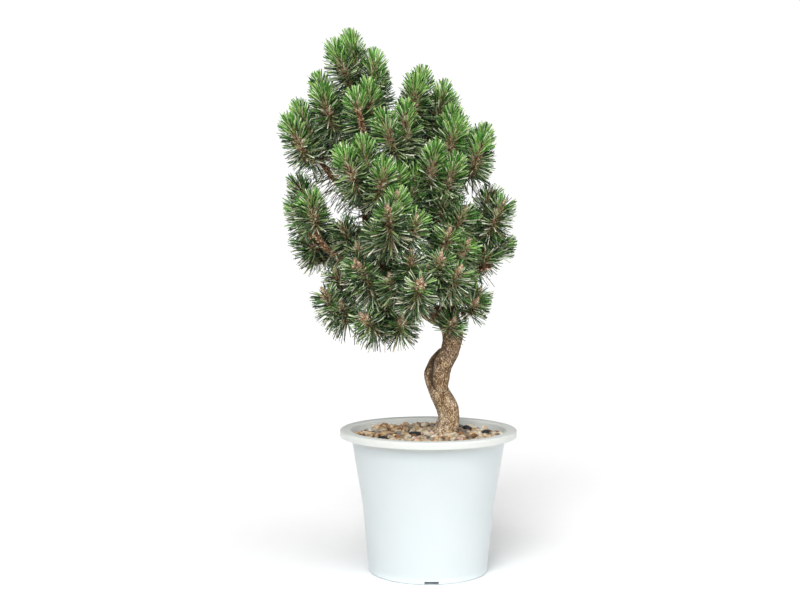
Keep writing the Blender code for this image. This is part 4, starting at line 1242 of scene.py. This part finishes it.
# A scale: its width, its length, how far up it bulges, and how far out it bulges and ends
SCALE_WIDTH = 1.8
SCALE_LENGTH = 3.2
SCALE_BULGE_AT = 1.3
SCALE_BULGE = 0.75
SCALE_TIP_OUT = 0.5
LARGE_BUD = 1.15
SMALL_BUD = 0.75
SIDE_BUDS = 3
SIDE_BUD_LEAN = 0.55


def bud(foot, aim, size, turn):
    """Points and faces of one bud's core and scales."""
    core_path = np.array([
        (*(foot + aim * BUD_LENGTH * size * share), BUD_RADIUS * size * wide)
        for share, wide in BUD_CORE
    ])
    parts = [tube(core_path, BUD_SIDES)]
    for index in range(BUD_SCALES):
        share = (index + 0.5) / BUD_SCALES
        out = square_to(aim, turn + index * GOLDEN_TURN)
        side = np.cross(aim, out)
        wide = np.interp(share, SCALE_PLACES, SCALE_RADII) * BUD_RADIUS * size
        root = foot + aim * BUD_LENGTH * size * share * SCALES_REACH + out * wide * SCALES_SUNK
        half = side * SCALE_WIDTH / 2 * size
        bulge = root + (aim * SCALE_BULGE_AT + out * SCALE_BULGE) * size
        tip = root + (aim * SCALE_LENGTH + out * SCALE_TIP_OUT) * size
        points = [root - half, root + half, bulge, tip]
        parts.append((points, [(0, 1, 2), (1, 3, 2), (3, 0, 2), (0, 3, 1)]))
    return joined(parts)


def bud_scales():
    """Resin-coated bud scales: warm brown, faintly shiny, whitish where the fringes dry."""
    made, tree, place = surface("pine_bud_resinous", Roughness=0.5, IOR=1.5)
    fringes = node(tree, "TexNoise", {"Scale": per(1.2), "Detail": 3}, {"Vector": place})
    spread = node(tree, "MapRange", {"From Min": 0.45, "From Max": 0.57}, {"Value": fringes})
    return coat(made, node(tree, "MixRGB", {"Color1": "#744526", "Color2": "#F0DABA"}, {"Fac": spread}))


bud_parts = []
for mass, index, foot, aim, length, turn in shoots:
    low = index < SMALL_FIRST and foot[2] < LOW_FOOT - LOW_FOOT_DEPTH / 3
    bud_parts.append(bud(foot + aim * (length - 1), aim, LARGE_BUD if low else SMALL_BUD, turn))
    for place in range(SIDE_BUDS if low else 0):
        out = square_to(aim, turn + place * GOLDEN_TURN)
        side_foot = foot + aim * (length - BUD_LENGTH * LARGE_BUD / 2) + out * SHOOT_TIP_RADIUS
        bud_parts.append(bud(side_foot, unit(aim + out * SIDE_BUD_LEAN), SMALL_BUD, turn + place))
buds = piece_from("winter_buds", *joined(bud_parts), bud_scales())
settle(buds, ["needles_" + name for name in MASSES])

# Studio
# A pale floor that runs out of sight into a white room, lit softly from all round, with a broad light
# above the viewer's left that models the crown.
CAMERA_PLACE = (-0.0432, -1.95, 0.515)
CAMERA_PITCH = math.radians(90 - 3.2)
LENS = 57.9
FLOOR_HALF = 40
# How strongly the room lights the plant, and how bright the camera sees it
ROOM_GLOW = 0.14
ROOM_BRIGHTNESS = 1.05
# Name, bearing from the viewer, height, width as seen from the plant, and strength of each soft light
LIGHTS = (
    ("overhead", -10, 78, 60, 1.6),
    ("key", -14, 36, 30, 2.1),
    ("fill", 40, 20, 60, 1.0),
)


def studio_floor():
    """Matt white sheet, rolled flat: hardly any grain, so that it reads as an even pale ground."""
    made, tree, place = surface("white_floor_matt", Roughness=0.9)
    fibres = node(tree, "TexNoise", {"Scale": per(25), "Detail": 2}, {"Vector": place})
    return coat(made, node(tree, "MixRGB", {"Color1": "#FAFAFA", "Color2": "#FDFDFD"}, {"Fac": fibres}))


side = FLOOR_HALF / MM
floor = piece_from("floor", [(-side, -side, 0), (side, -side, 0), (side, side, 0), (-side, side, 0)],
                   [(0, 1, 2, 3)], studio_floor())
room = bpy.data.worlds.new("white room")
room.use_nodes = True
ray = node(room.node_tree, "LightPath", output="Is Camera Ray")
glow = node(room.node_tree, "MapRange", {"To Min": ROOM_GLOW, "To Max": ROOM_BRIGHTNESS}, {"Value": ray})
background = room.node_tree.nodes["Background"]
background.inputs["Color"].default_value = (1, 1, 1, 1)
room.node_tree.links.new(glow, background.inputs["Strength"])
bpy.context.scene.world = room
for name, bearing, height, spread, strength in LIGHTS:
    data = bpy.data.lights.new(name, "SUN")
    data.angle = math.radians(spread)
    data.energy = strength
    lamp = bpy.data.objects.new(name, data)
    lamp.rotation_euler = (math.radians(90 - height), 0, math.radians(bearing))
    bpy.context.scene.collection.objects.link(lamp)
lens = bpy.data.cameras.new("camera")
lens.lens = LENS
camera = bpy.data.objects.new("camera", lens)
camera.location = CAMERA_PLACE
camera.rotation_euler = (CAMERA_PITCH, 0, 0)
bpy.context.scene.collection.objects.link(camera)
bpy.context.scene.camera = camera
bpy.context.scene.view_settings.view_transform = "Standard"
